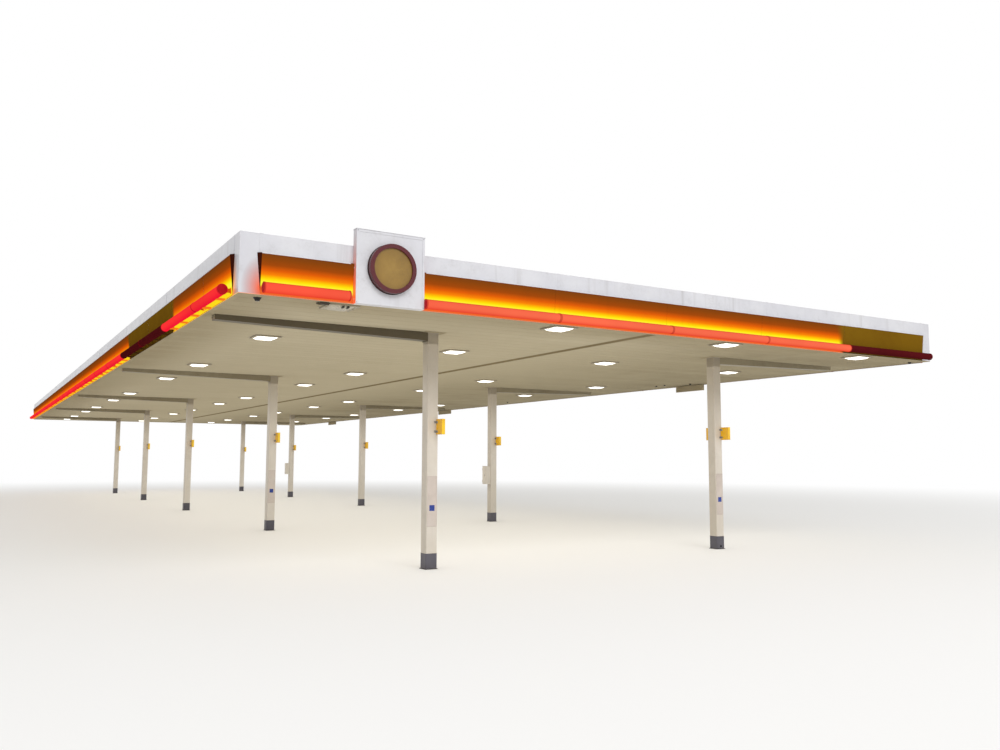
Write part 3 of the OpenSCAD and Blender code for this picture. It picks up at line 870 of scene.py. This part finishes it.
screwHead = lathe([(0.25, 0.62), (0.6, 0.55), (0.9, 0.3), (1.0, 0.08), (1.0, -0.02)], 12)
hexHead = lathe([(0.7, 1.15), (0.95, 1.05), (1.0, 0.9), (1.0, 0.22)], 6)
washer = lathe([(1.45, 0.24), (1.55, 0.16), (1.55, -0.02)], 16)


def makeScrews(name, radius, spots, material="bolt"):
    makePiece(name, stamp(scaled(screwHead, radius), spots), material)


def makeBolts(name, radius, spots, material="bolt"):
    parts = stamp(scaled(hexHead, radius), spots) + stamp(scaled(washer, radius), spots)
    makePiece(name, parts, material)


def flatFrame(width, height, wide, thick, edge=0.0006):  # a thin raised border inside the given size
    profile = [(-wide, 0), (-wide, thick - edge), (-wide + edge, thick), (-edge, thick), (0, thick - edge), (0, 0)]
    return mitredFrame(width, height, profile)


def bead(width, leg):  # a weld or sealant bead round a square, lying on both faces
    return mitredFrame(width, width, [(-0.0004, 0), (-0.0004, leg), (leg * 0.45, leg * 0.5), (leg, 0)])


# Soffit lights

lightLook = {"flange": 0.014, "bezel": 0.003, "screw": 0.0042, "screwIn": 0.01, "latch": (0.012, 0.022, 0.004)}


def makeLights(look):
    bezels, flanges, screws, latches = [], [], [], []
    lip, wide, inset = look["bezel"], look["flange"], look["screwIn"]
    inner, gap = 0.0006 - lightRim, 0.0006
    bezel = [
        (inner, 0.0), (inner, lip * 0.6), (inner + 0.0015, lip), (0.0005, lip), (0.0025, lip * 0.5),
        (0.0025, -0.006), (gap, -0.006), (gap, 0.0),
    ]
    latchWide, latchLong, latchThick = look["latch"]
    latch = pad(latchWide, latchLong, 0, latchThick, 0.0008)
    for low, high in lights:
        middle = (low + high) / 2
        width, depth, top = high - low
        face = under(middle[0], middle[1], low[2])
        bezels += stamp(mitredFrame(width, depth, bezel), [face])
        flange = [(gap, -top), (wide, -top), (wide, -top + 0.0015), (wide - 0.001, -top + 0.0022), (gap, -top + 0.0026)]
        flanges += stamp(mitredFrame(width, depth, flange), [face])
        screws += [face @ spot for spot in corners(width / 2 - inset, depth / 2 - inset, lip)]
        for turn in (0, 180):
            turned = face @ Matrix.Rotation(math.radians(turn), 4, "Z")
            latches += stamp(latch, [turned @ shifted((width - lightRim) / 2, 0, lip)])
    makePiece("light_bezels", bezels, "housing")
    makePiece("light_flanges", flanges, "housing")
    makeScrews("light_screws", look["screw"], screws)
    makePiece("light_latches", latches, "housing")
    # The unlit light: two dark clips on its lens and a dark wedge beside it, painted shade for the shadowed recesses of
    # its housing
    low, high = unlitLight
    clips = [
        softBox((x, low[1] - 0.004, low[2] - 0.022), (x + 0.008, low[1] + 0.05, low[2] - 0.003), 0.001)
        for x in (high[0] - 0.142, high[0] - 0.1)
    ]
    makePiece("dark_clips", clips, "plastic")
    outline = [(-0.046, 0), (0.05, 0), (0.05, -0.01), (-0.03, -0.029), (-0.043, -0.025)]
    outline = [(roof["front"] + 0.075 + y, roof["soffit"] + z) for y, z in outline]
    makePiece("corner_shadeWedge", [extrude(outline, low[0] - 0.092, low[0] - 0.016)], "shadeWedge", 25)


makeLights(lightLook)
print("soffit lights done")


# Bars, leaning panels and bands on the four sides

sideLook = {
    "seamWide": 0.006, "seamThick": 0.0012, "headTall": 0.008, "flare": 0.031, "bracketIn": 0.04,
    "plate": (0.034, 0.044, 0.003), "plateScrew": 0.004, "plateScrewAt": (0.0125, 0.0165),
    "clipPitch": 0.42, "clip": (0.03, 0.006), "strapWide": 0.03, "strapThick": 0.0012, "strapPitch": 2.74,
    "rivet": 0.0035, "trimWide": 0.05, "trimPitch": 0.685, "trimScrew": 0.0035,
}
bandHeight = roof["top"] - roof["bandFoot"]
bandDeep = bandBox[1].y - bandBox[0].y
postLeg = bandBox[0].x - roof["left"]
leanLength = math.hypot(panelHeight, panelLean)
leanUp = Vector((0, -panelLean, panelHeight)) / leanLength
leanOut = Vector((0, -panelHeight, -panelLean)) / leanLength
capProfile = [(0.006, 0.0052), (0.014, 0.005), (0.03, 0.0042), (0.0375, 0.0028), (0.0395, 0.0012), (0.0395, -0.001)]


def onLean(x, height):  # a matrix on the leaning face at a height above the soffit
    return facingMatrix((x, -panelLean * height / panelHeight, height), leanOut, leanUp)


def barJoints(side):
    return [(a[1][0] + b[0][0]) / 2 for a, b in zip(bars[side], bars[side][1:]) if b[0][0] - a[1][0] < 0.1]


def openEnds(side):  # bar ends with no other length next to them, and which way they look
    ends = [(low[0], -1) for low, high in bars[side]] + [(high[0], 1) for low, high in bars[side]]
    return [(x, way) for x, way in ends if all(abs(x - other) > 0.02 for other, turn in ends if turn != way)]


def makeSides(look):
    plates, plateScrews, straps, rivets, heads, trimScrews, clips, caps, feet = ([] for k in range(9))
    seamHalf, seamThick = look["seamWide"] / 2, look["seamThick"]
    seam = softBox((-seamHalf, 0.002, 0), (seamHalf, leanLength - 0.002, seamThick), 0.0005)
    wide, tall, thick = look["plate"]
    plate, capShape = pad(wide, tall, 0, thick, 0.0007), lathe(capProfile, 28)
    clipHalf, clipThick, barFoot = look["clip"][0] / 2, look["clip"][1], barAxisUp - barHeight / 2
    half, strapThick = look["strapWide"] / 2, look["strapThick"]
    for side, matrix in sideFrames.items():
        joints = stamp(seam, [matrix @ onLean(x, 0) for x in barJoints(side)])
        makePiece("panel_seams_" + side, joints, "panel_" + side)
        for low, high in bars[side]:
            for x in (low[0] + look["bracketIn"], high[0] - look["bracketIn"]):
                face = matrix @ onLean(x, barAxisUp)
                plates += stamp(plate, [face])
                plateScrews += [face @ spot for spot in corners(*look["plateScrewAt"], thick)]
            number = max(1, round((high[0] - low[0]) / look["clipPitch"])) if side == "left" else 0
            for k in range(number):  # saddles under the bar back to the foot of the panel
                x = low[0] + (k + 0.5) * (high[0] - low[0]) / number
                start = (x - clipHalf, 0.006 - barAxisOut, barFoot - clipThick + 0.003)
                clips += stamp(softBox(start, (x + clipHalf, -0.0005, barFoot + 0.012), 0.001), [matrix])
        for x, way in openEnds(side):
            caps += stamp(capShape, [matrix @ facingMatrix((x, -barAxisOut, barAxisUp), (way, 0, 0))])
        for low, high in sideBoxes("yellow_panel_", side):
            start, end = low[0] + look["flare"], high[0] - look["flare"]
            head = (start, -panelLean - 0.003, panelHeight - look["headTall"]), (end, 0.002, panelHeight + 0.0008)
            heads += stamp(softBox(*head, 0.0008), [matrix])
            feet += stamp(softBox((start, -0.0035, 0.0004), (end, 0.001, 0.006), 0.0006), [matrix])
        length = sideLengths[side]
        span = length - 2 * postLeg
        count = max(1, round(span / look["strapPitch"]))
        for x in [postLeg + span * k / count for k in range(count + 1)]:
            if side == "front" and signBox[0].x - 0.03 < roof["left"] + x < signBox[1].x + 0.03:
                continue
            front = matrix @ ahead(x, 0, panelHeight)
            over = matrix @ facingMatrix((x, 0, bandHeight + panelHeight), up, (0, 1, 0))
            for face, start, end in ((front, 0.001, bandHeight - 0.0005), (over, 0, bandDeep)):
                straps += stamp(softBox((-half, start, 0), (half, end, strapThick), 0.0004), [face])
            for sx, part in itertools.product((-1, 1), (0.2, 0.5, 0.8)):
                for face, reach in ((front, bandHeight), (over, bandDeep)):
                    rivets.append(face @ shifted(sx * half * 0.55, reach * part, strapThick))
        steps = int(length / look["trimPitch"])
        spots = [((k + 0.5) * length / steps, look["trimWide"] * 0.5) for k in range(steps)]
        trimScrews += [matrix @ under(x, y, roof["trim"] - roof["soffit"]) for x, y in spots]
    makePiece("bracket_plates", plates, "saddle")
    makeScrews("bracket_screws", look["plateScrew"], plateScrews, "saddle")
    makePiece("bar_saddles", clips, "saddle")
    makePiece("bar_caps", caps, "cap")
    makePiece("panel_heads", heads, "sheet")
    makePiece("panel_feet", feet, "panelFoot")
    makePiece("band_straps", straps, "sheet")
    makeScrews("band_rivets", look["rivet"], rivets, "sheet")
    makeScrews("trim_screws", look["trimScrew"], trimScrews, "trim")


makeSides(sideLook)
print("fascia sides done")


# Sign board, its round light box and the small fittings

signLook = {
    "frameWide": 0.02, "frameThick": 0.003, "screw": 0.005, "screwPitch": 0.19, "gasket": 0.005, "discScrew": 0.0045,
    "discScrews": 12, "ribIn": 0.12,
}


def makeSign(look):
    low, high = signBox
    middle = (low + high) / 2
    width, height = high.x - low.x, high.z - low.z
    front = ahead(middle.x, low.y, middle.z)
    frames = stamp(flatFrame(width - 0.004, height - 0.004, look["frameWide"], look["frameThick"]), [front])
    capLow = (low.x - 0.004, low.y - 0.006, high.z - 0.001)
    frames.append(softBox(capLow, (high.x + 0.004, high.y + 0.004, high.z + 0.003), 0.001))
    makePiece("sign_frame", frames, "sheet")
    screws, number = [], round(height / look["screwPitch"])
    reach = width / 2 - look["frameWide"] / 2 - 0.002
    for k in range(number + 1):
        part = -reach + 2 * reach * k / number
        for x, y in ((part, -reach), (part, reach), (-reach, part), (reach, part)):
            screws.append(front @ shifted(x, y, look["frameThick"]))
    for way, x in ((-1, low.x), (1, high.x)):
        heights = [roof["soffit"] + 0.03 + k * (height - 0.1) / 2 for k in range(3)]
        screws += [facingMatrix((x, middle.y, z), (way, 0, 0)) for z in heights]
    makeScrews("sign_screws", look["screw"], screws, "sheet")
    discMiddle, radius = (discBox[0] + discBox[1]) / 2, (discBox[1].x - discBox[0].x) / 2
    disc = ahead(discMiddle.x, discBox[1].y, discMiddle.z)
    thick, deep = look["gasket"], discBox[1].y - discBox[0].y
    outer = radius + thick
    ring = [(radius - 0.002, thick), (radius + thick * 0.6, thick * 0.9), (outer, thick * 0.4), (outer, 0.0)]
    makePiece("disc_gasket", stamp(lathe(ring, 72), [disc]), "rubber")
    turns = [2 * math.pi * (k + 0.5) / look["discScrews"] for k in range(look["discScrews"])]
    reach = radius - discLook["rim"] / 2
    spots = [disc @ shifted(reach * math.cos(turn), reach * math.sin(turn), deep) for turn in turns]
    makeScrews("disc_screws", look["discScrew"], spots, "rimPaint")
    ribs = [
        softBox((x - 0.02, high.y - 0.001, roof["top"] - 0.02), (x + 0.02, high.y + 0.03, high.z - 0.03), 0.002)
        for x in (low.x + look["ribIn"], middle.x, high.x - look["ribIn"])
    ]
    makePiece("sign_ribs", ribs, "zinc")


makeSign(signLook)

fittingLook = {"flange": 0.006, "flangeThick": 0.003, "boardScrew": 0.004}


def makeFittings(look):
    flanges, thick = [], look["flangeThick"]
    for low, high in islandBoxes("edge_domes"):
        radius, middle = (high[0] - low[0]) / 2 + look["flange"], (low + high) / 2
        ring = [(radius - 0.004, thick), (radius - 0.001, thick * 0.8), (radius, thick * 0.3), (radius, -0.001)]
        flanges += stamp(lathe(ring, 32), [under(middle[0], middle[1], high[2])])
    makePiece("dome_flanges", flanges, "trim")
    trims, screws = [], []
    for low, high in [b for b in islandBoxes("hanging_boards") if b[1][1] - b[0][1] > 0.3]:
        front, back, foot, top = low[1], high[1], low[2], high[2]
        for y in (front, back - 0.012):
            start, end = (low[0] - 0.0015, y - 0.0015, foot - 0.0015), (high[0] + 0.0015, y + 0.0135, top - 0.013)
            trims.append(softBox(start, end, 0.0012))
        for z0, z1 in ((foot - 0.0015, foot + 0.007), (top - 0.022, top - 0.0135)):
            trims.append(softBox((low[0] - 0.0025, front + 0.012, z0), (low[0] + 0.004, back - 0.012, z1), 0.001))
        spots = [(low[0], front + 0.05 + k * (back - front - 0.1) / 3, (foot + top) / 2 - 0.006) for k in range(4)]
        screws += [facingMatrix(spot, (-1, 0, 0)) for spot in spots]
    makePiece("board_trims", trims, "trim")
    makeScrews("board_screws", look["boardScrew"], screws)


makeFittings(fittingLook)
print("sign and fittings done")


# Columns: sealant and beads, collar bolts, notices, flags and cabinets

columnFit = {
    "seal": 0.007, "bead": 0.004, "bandBead": 0.0022, "bolt": 0.0055, "boltOut": 0.03,
    "notice": (0.1, 0.41, 0.895), "noticeOn": (0, 1, 2), "noticeScrew": 0.0022,  # width, foot and top of a sheet
    "square": (0.588, 0.056), "sleeveOn": 1, "sleeve": (0.012, 0.034),
    "flagFrame": (0.009, 0.002), "flagScrew": 0.003, "flagBolt": 0.0042, "door": 0.004, "hinge": 0.0055,
}


def makeColumns(look):
    seals, beads, boltSpots = [], [], []
    bandTop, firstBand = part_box("base_bands")[1].z, islandBoxes("base_bands")[0]
    reach = columnWidth / 2 + look["boltOut"]
    for low, high in columns:
        x, y, z = (low + high) / 2
        face = under(x, y, roof["trim"])
        seals += stamp(bead(firstBand[1][0] - firstBand[0][0], look["seal"]), [shifted(x, y, 0.0)])
        beads += stamp(bead(columnWidth, look["bandBead"]), [shifted(x, y, bandTop)])
        beads += stamp(bead(columnWidth, look["bead"]), [face])
        boltSpots += [face @ spot for spot in corners(reach, reach)]
    makePiece("column_seals", seals, "rubber")
    makePiece("column_beads", beads, "column", 50)
    makeBolts("collar_bolts", look["bolt"], boltSpots, "trim")
    papers, covers, squares, screws = [], [], [], []
    wide, foot, top = look["notice"]
    tall, (squareUp, squareWide) = top - foot, look["square"]
    for low, high in [columns[k] for k in look["noticeOn"]]:
        x = (low[0] + high[0]) / 2
        face = ahead(x, low[1], (foot + top) / 2)
        papers += stamp(pad(wide, tall, -0.0005, 0.0012, 0.0003), [face])
        covers += stamp(flatFrame(wide + 0.004, tall + 0.004, 0.005, 0.0026), [face])
        squares += stamp(pad(squareWide, squareWide, 0.0008, 0.0019, 0.0003), [ahead(x, low[1], squareUp)])
        screws += [face @ spot for spot in corners(wide / 2 - 0.001, tall / 2 - 0.03, 0.002)]
    makePiece("notice_sheets", papers, "paper")
    makePiece("notice_frames", covers, "paper")
    makePiece("notice_squares", squares, "blue")
    makeScrews("notice_screws", look["noticeScrew"], screws)
    low, high = columns[look["sleeveOn"]]
    radius, height = look["sleeve"]
    ring = [(radius * 0.55, 0.0), (radius * 0.62, 0.0035), (radius * 0.9, 0.0038), (radius, 0.002), (radius, -0.001)]
    spot = ahead((low[0] + high[0]) / 2, low[1] - 0.002, height)
    makePiece("outlet_sleeve", stamp(lathe(ring, 28), [spot]), "plastic")


def makeFlags(look):
    frames, screws, plates, boltSpots = [], [], [], []
    for low, high in islandBoxes("column_signs"):
        middle, (deep, wide, tall) = (low + high) / 2, high - low
        for side, x in ((-1, low[0]), (1, high[0])):
            face = facingMatrix((x, middle[1], middle[2]), (side, 0, 0))
            frames += stamp(flatFrame(wide - 0.002, tall - 0.002, *look["flagFrame"]), [face])
            screws += [face @ spot for spot in corners(wide / 2 - 0.0055, tall / 2 - 0.0055, look["flagFrame"][1])]
        column = min(columns, key=lambda b: np.abs((b[0] + b[1]) / 2 - middle)[:2].sum())
        way = 1 if middle[1] > (column[0][1] + column[1][1]) / 2 else -1
        wall = column[1][1] if way > 0 else column[0][1]
        for z in (low[2] + 0.03, high[2] - 0.03):  # an angle: one leg on the column, one on the box
            for x0, x1, leg in ((-0.026, 0.002, 0.003), (-0.0025, 0.0005, 0.03)):
                y0, y1 = sorted((wall, wall + way * leg))
                plates.append(softBox((low[0] + x0, y0, z - 0.011), (low[0] + x1, y1, z + 0.011), 0.0006))
            boltSpots.append(facingMatrix((low[0] - 0.014, wall + way * 0.003, z), (0, way, 0)))
    makePiece("flag_frames", frames, "flag")
    makeScrews("flag_screws", look["flagScrew"], screws)
    makePiece("flag_brackets", plates, "zinc")
    makeBolts("flag_bolts", look["flagBolt"], boltSpots)


def makeCabinets(look):
    doors, hinges, locks = [], [], []
    thick, radius = look["door"], look["hinge"]
    pin = lathe([(0.0046, 0.017), (radius, 0.016), (radius, -0.016), (0.0046, -0.017)], 14)
    knob = lathe([(0.004, 0.007), (0.0065, 0.0062), (0.007, 0.002), (0.009, 0.0015), (0.009, -0.001)], 20)
    for low, high in islandBoxes("column_cabinets"):
        (left, front, foot), (right, back, top) = low, high
        x, y, z = left - thick, (front + back) / 2, (foot + top) / 2
        doors.append(softBox((x, front + 0.004, foot + 0.004), (left + 0.001, back - 0.004, top - 0.004), 0.0014))
        border = flatFrame(back - front - 0.02, top - foot - 0.02, 0.004, 0.0012)
        doors += stamp(border, [facingMatrix((x, y, z), (-1, 0, 0))])
        doors.append(softBox((left - 0.006, front - 0.005, top - 0.001), (right, back + 0.005, top + 0.004), 0.0012))
        hinges += stamp(pin, [shifted(left - 0.001, back - 0.001, height) for height in (foot + 0.05, top - 0.05)])
        locks += stamp(knob, [facingMatrix((x, front + 0.016, z), (-1, 0, 0))])
    makePiece("cabinet_doors", doors, "cabinet")
    makePiece("cabinet_hinges", hinges, "cabinet")
    makePiece("cabinet_locks", locks, "bolt")


makeColumns(columnFit)
makeFlags(columnFit)
makeCabinets(columnFit)
print("columns done")


# Under and on the deck: cantilever ends, gutter joints, cleats and seam clips

deckFit = {
    "bolt": 0.006, "tipPlate": 0.003, "gutterPitch": 1.5, "gutterScrew": 0.0036, "cleatDeep": 0.06,
    "cleatThick": 0.003, "cleatBolt": 0.0055, "drain": 0.028,
}
hangingEdge = [v.co for v in cadNodes["beams_row_1"].data.vertices if v.co.z < roof["soffit"] - 0.001]
tipX = max(co.x for co in hangingEdge)
armLength = tipX - columns[1][1][0]
tipHeight = roof["soffit"] - min(co.z for co in hangingEdge if abs(co.x - tipX) < 1e-4)


def cantilevers(row):
    hanging = [b for b in islandBoxes("beams_row_%d" % row) if b[0][2] < roof["soffit"] - 0.01]
    widest = max(high[1] - low[1] for low, high in hanging)
    return [b for b in hanging if b[1][1] - b[0][1] > widest - 0.001]


def makeTips(look):
    tips, boltSpots = [], []
    for low, high in [b for row in range(1, 6) for b in cantilevers(row)]:
        way = -1 if low[0] < columns[0][0][0] else 1
        start, end = columns[0 if way < 0 else 1]
        x = (start[0] + end[0]) / 2 + way * (columnWidth / 2 + armLength)
        half, tall = (high[1] - low[1]) / 2, tipHeight / 2
        face = facingMatrix((x, (low[1] + high[1]) / 2, roof["soffit"] - tall), (way, 0, 0))
        plate = softBox((-half + 0.003, -tall + 0.004, -0.001), (half - 0.003, tall - 0.005, look["tipPlate"]), 0.0008)
        tips += stamp(plate, [face])
        boltSpots += [face @ shifted(k * half * 0.62, 0, look["tipPlate"]) for k in (-1, 1)]
    makePiece("tip_plates", tips, "beam")
    makeBolts("tip_bolts", look["bolt"], boltSpots, "beam")


def makeGutterJoints(look):
    joints, screws = [], []
    start, end, soffit = gutterBox[0].y, gutterBox[1].y, roof["soffit"]
    middle, half = deckLook["gutter"], (gutterBox[1].x - gutterBox[0].x) / 2
    count = round((end - start) / look["gutterPitch"])
    for y in [start + (end - start) * k / count for k in range(1, count)]:
        low = (middle - half - 0.004, y - 0.018, soffit - 0.0022)
        joints.append(softBox(low, (middle + half + 0.004, y + 0.018, soffit + 0.0004), 0.0006))
        screws += [under(middle + way * half * 0.72, y, soffit - 0.0022) for way in (-1, 1)]
    makePiece("gutter_joints", joints, "gutter")
    makeScrews("gutter_screws", look["gutterScrew"], screws, "gutter")


def makeCleats(look):
    cleats, boltSpots, clips, joistSides = [], [], [], {}
    deep, thick = look["cleatDeep"], look["cleatThick"]
    for low, high in islandBoxes("joists"):
        x, middle = low[0], (low[2] + high[2]) / 2
        for y, way in ((low[1], 1), (high[1], -1)):
            y0, y1 = sorted((y, y + way * deep))
            cleats.append(softBox((x - thick, y0, low[2] + 0.02), (x + 0.0005, y1, high[2] - 0.02), 0.0008))
            spots = [(x - thick, y + way * deep * 0.55, middle + lift) for lift in (-0.028, 0.028)]
            boltSpots += [facingMatrix(spot, (-1, 0, 0)) for spot in spots]
        joistSides[round(float(x), 3)] = x
    makePiece("joist_cleats", cleats, "zinc")
    makeBolts("cleat_bolts", look["cleatBolt"], boltSpots)
    legTop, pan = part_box("deck_bay_2")[1].z, deckLook["pan"]
    for y in [roof["front"] + k * pan for k in range(int(roofLength / pan) + 1)]:
        nearEdge = y < roof["front"] + 0.1 or y > roof["back"] - 0.1
        if nearEdge or min(abs(y - row) for row in rowPlaces) < 0.075:
            continue
        for x in joistSides.values():
            clips.append(softBox((x - 0.026, y - 0.008, legTop - 0.012), (x - 0.004, y + 0.008, legTop + 0.003), 0.001))
    makePiece("seam_clips", clips, "zinc")


def makeDrains(look):
    radius = look["drain"]
    drain = lathe([(0.01, 0.004), (radius * 0.8, 0.006), (radius, 0.002), (radius, -0.001)], 24)
    places = [gutterBox[0].y + 0.4, *(row + 0.3 for row in rowPlaces[1:4]), gutterBox[1].y - 0.4]
    spots = [shifted(deckLook["gutter"], y, roof["soffit"] + 0.003) for y in places]
    makePiece("gutter_drains", stamp(drain, spots), "zinc")


for makeFitting in (makeTips, makeGutterJoints, makeCleats, makeDrains):
    makeFitting(deckFit)
print("deck fittings done")


# Stage, lights and camera

stageLook = {
    "floor": paint(236, 235, 232), "floorSize": 900.0, "fadeFrom": 7.0, "fadeTo": 28.0, "backdrop": 1.0,
    "worldLight": 0.78,
}


def makeStage(look):
    mesh = bpy.data.meshes.new("floor")
    half = look["floorSize"] / 2
    mesh.from_pydata([(sx * half, sy * half, 0) for sx, sy in quadrants], [], [(0, 1, 2, 3)])
    floor = bpy.data.objects.new("floor", mesh)
    bpy.context.scene.collection.objects.link(floor)
    material = startMaterial("floorPaint")
    setShader({"Base Color": look["floor"], "Roughness": 0.8, "Specular IOR Level": 0.2})
    fade = ramp(vectorCalc("LENGTH", place()), look["fadeFrom"], look["fadeTo"])
    path = addNode("ShaderNodeLightPath").outputs
    seen = larger(path["Is Camera Ray"], path["Is Glossy Ray"])
    white = addNode("ShaderNodeEmission", {"Color": (1, 1, 1, 1), "Strength": look["backdrop"]})
    mixed = wire("ShaderNodeMixShader", 0, {0: fade * seen, 1: current["shader"].outputs[0], 2: white.outputs[0]})
    plug(mixed, current["tree"].nodes["Material Output"].inputs["Surface"])
    mesh.materials.append(material)

    world = bpy.data.worlds.new("studio")
    world.use_nodes = True
    current["tree"] = world.node_tree
    path = addNode("ShaderNodeLightPath").outputs
    seen = larger(larger(path["Is Camera Ray"], path["Is Transmission Ray"]), path["Is Glossy Ray"])
    background = world.node_tree.nodes["Background"]
    background.inputs["Color"].default_value = (1, 1, 1, 1)
    plug(ramp(seen, 0.0, 1.0, look["worldLight"], look["backdrop"], False), background.inputs["Strength"])
    bpy.context.scene.world = world


def softLamp(name, location, target, size, power):  # seen by neither the camera nor reflections
    data = bpy.data.lights.new(name, "AREA")
    data.shape, data.size, data.size_y, data.energy = "RECTANGLE", size[0], size[1], power
    lamp = bpy.data.objects.new(name, data)
    lamp.location = location
    lamp.rotation_euler = (Vector(target) - Vector(location)).to_track_quat("-Z", "Y").to_euler()
    bpy.context.scene.collection.objects.link(lamp)
    lamp.visible_camera = lamp.visible_glossy = False


makeStage(stageLook)
softLamp("keyLamp", (-2, -30, 13), (0, -4, 1.5), (14, 9), 1900)
softLamp("underLamp", (0, 0, 2.2), (0, 0, 0), (roofWidth - 0.6, roofLength - 0.6), 420)

cameraLook = {
    "fromCorner": (-1.661, -6.5688, 1.0589), "heading": 31.1792, "pitch": 5.5575, "roll": 0.1377, "lens": 31.32,
}


def makeCamera(look):
    data = bpy.data.cameras.new("camera")
    data.lens, data.sensor_width, data.clip_start, data.clip_end = look["lens"], 36.0, 0.05, 2000.0
    camera = bpy.data.objects.new("camera", data)
    turn = Matrix.Rotation(math.radians(-look["heading"]), 4, "Z")
    turn = turn @ Matrix.Rotation(math.radians(90 + look["pitch"]), 4, "X")
    turn = turn @ Matrix.Rotation(math.radians(look["roll"]), 4, "Z")
    corner = Vector((roof["left"], roof["front"], 0))
    camera.matrix_world = Matrix.Translation(corner + Vector(look["fromCorner"])) @ turn
    bpy.context.scene.collection.objects.link(camera)
    bpy.context.scene.camera = camera


makeCamera(cameraLook)
bpy.context.scene.view_settings.view_transform = "Standard"
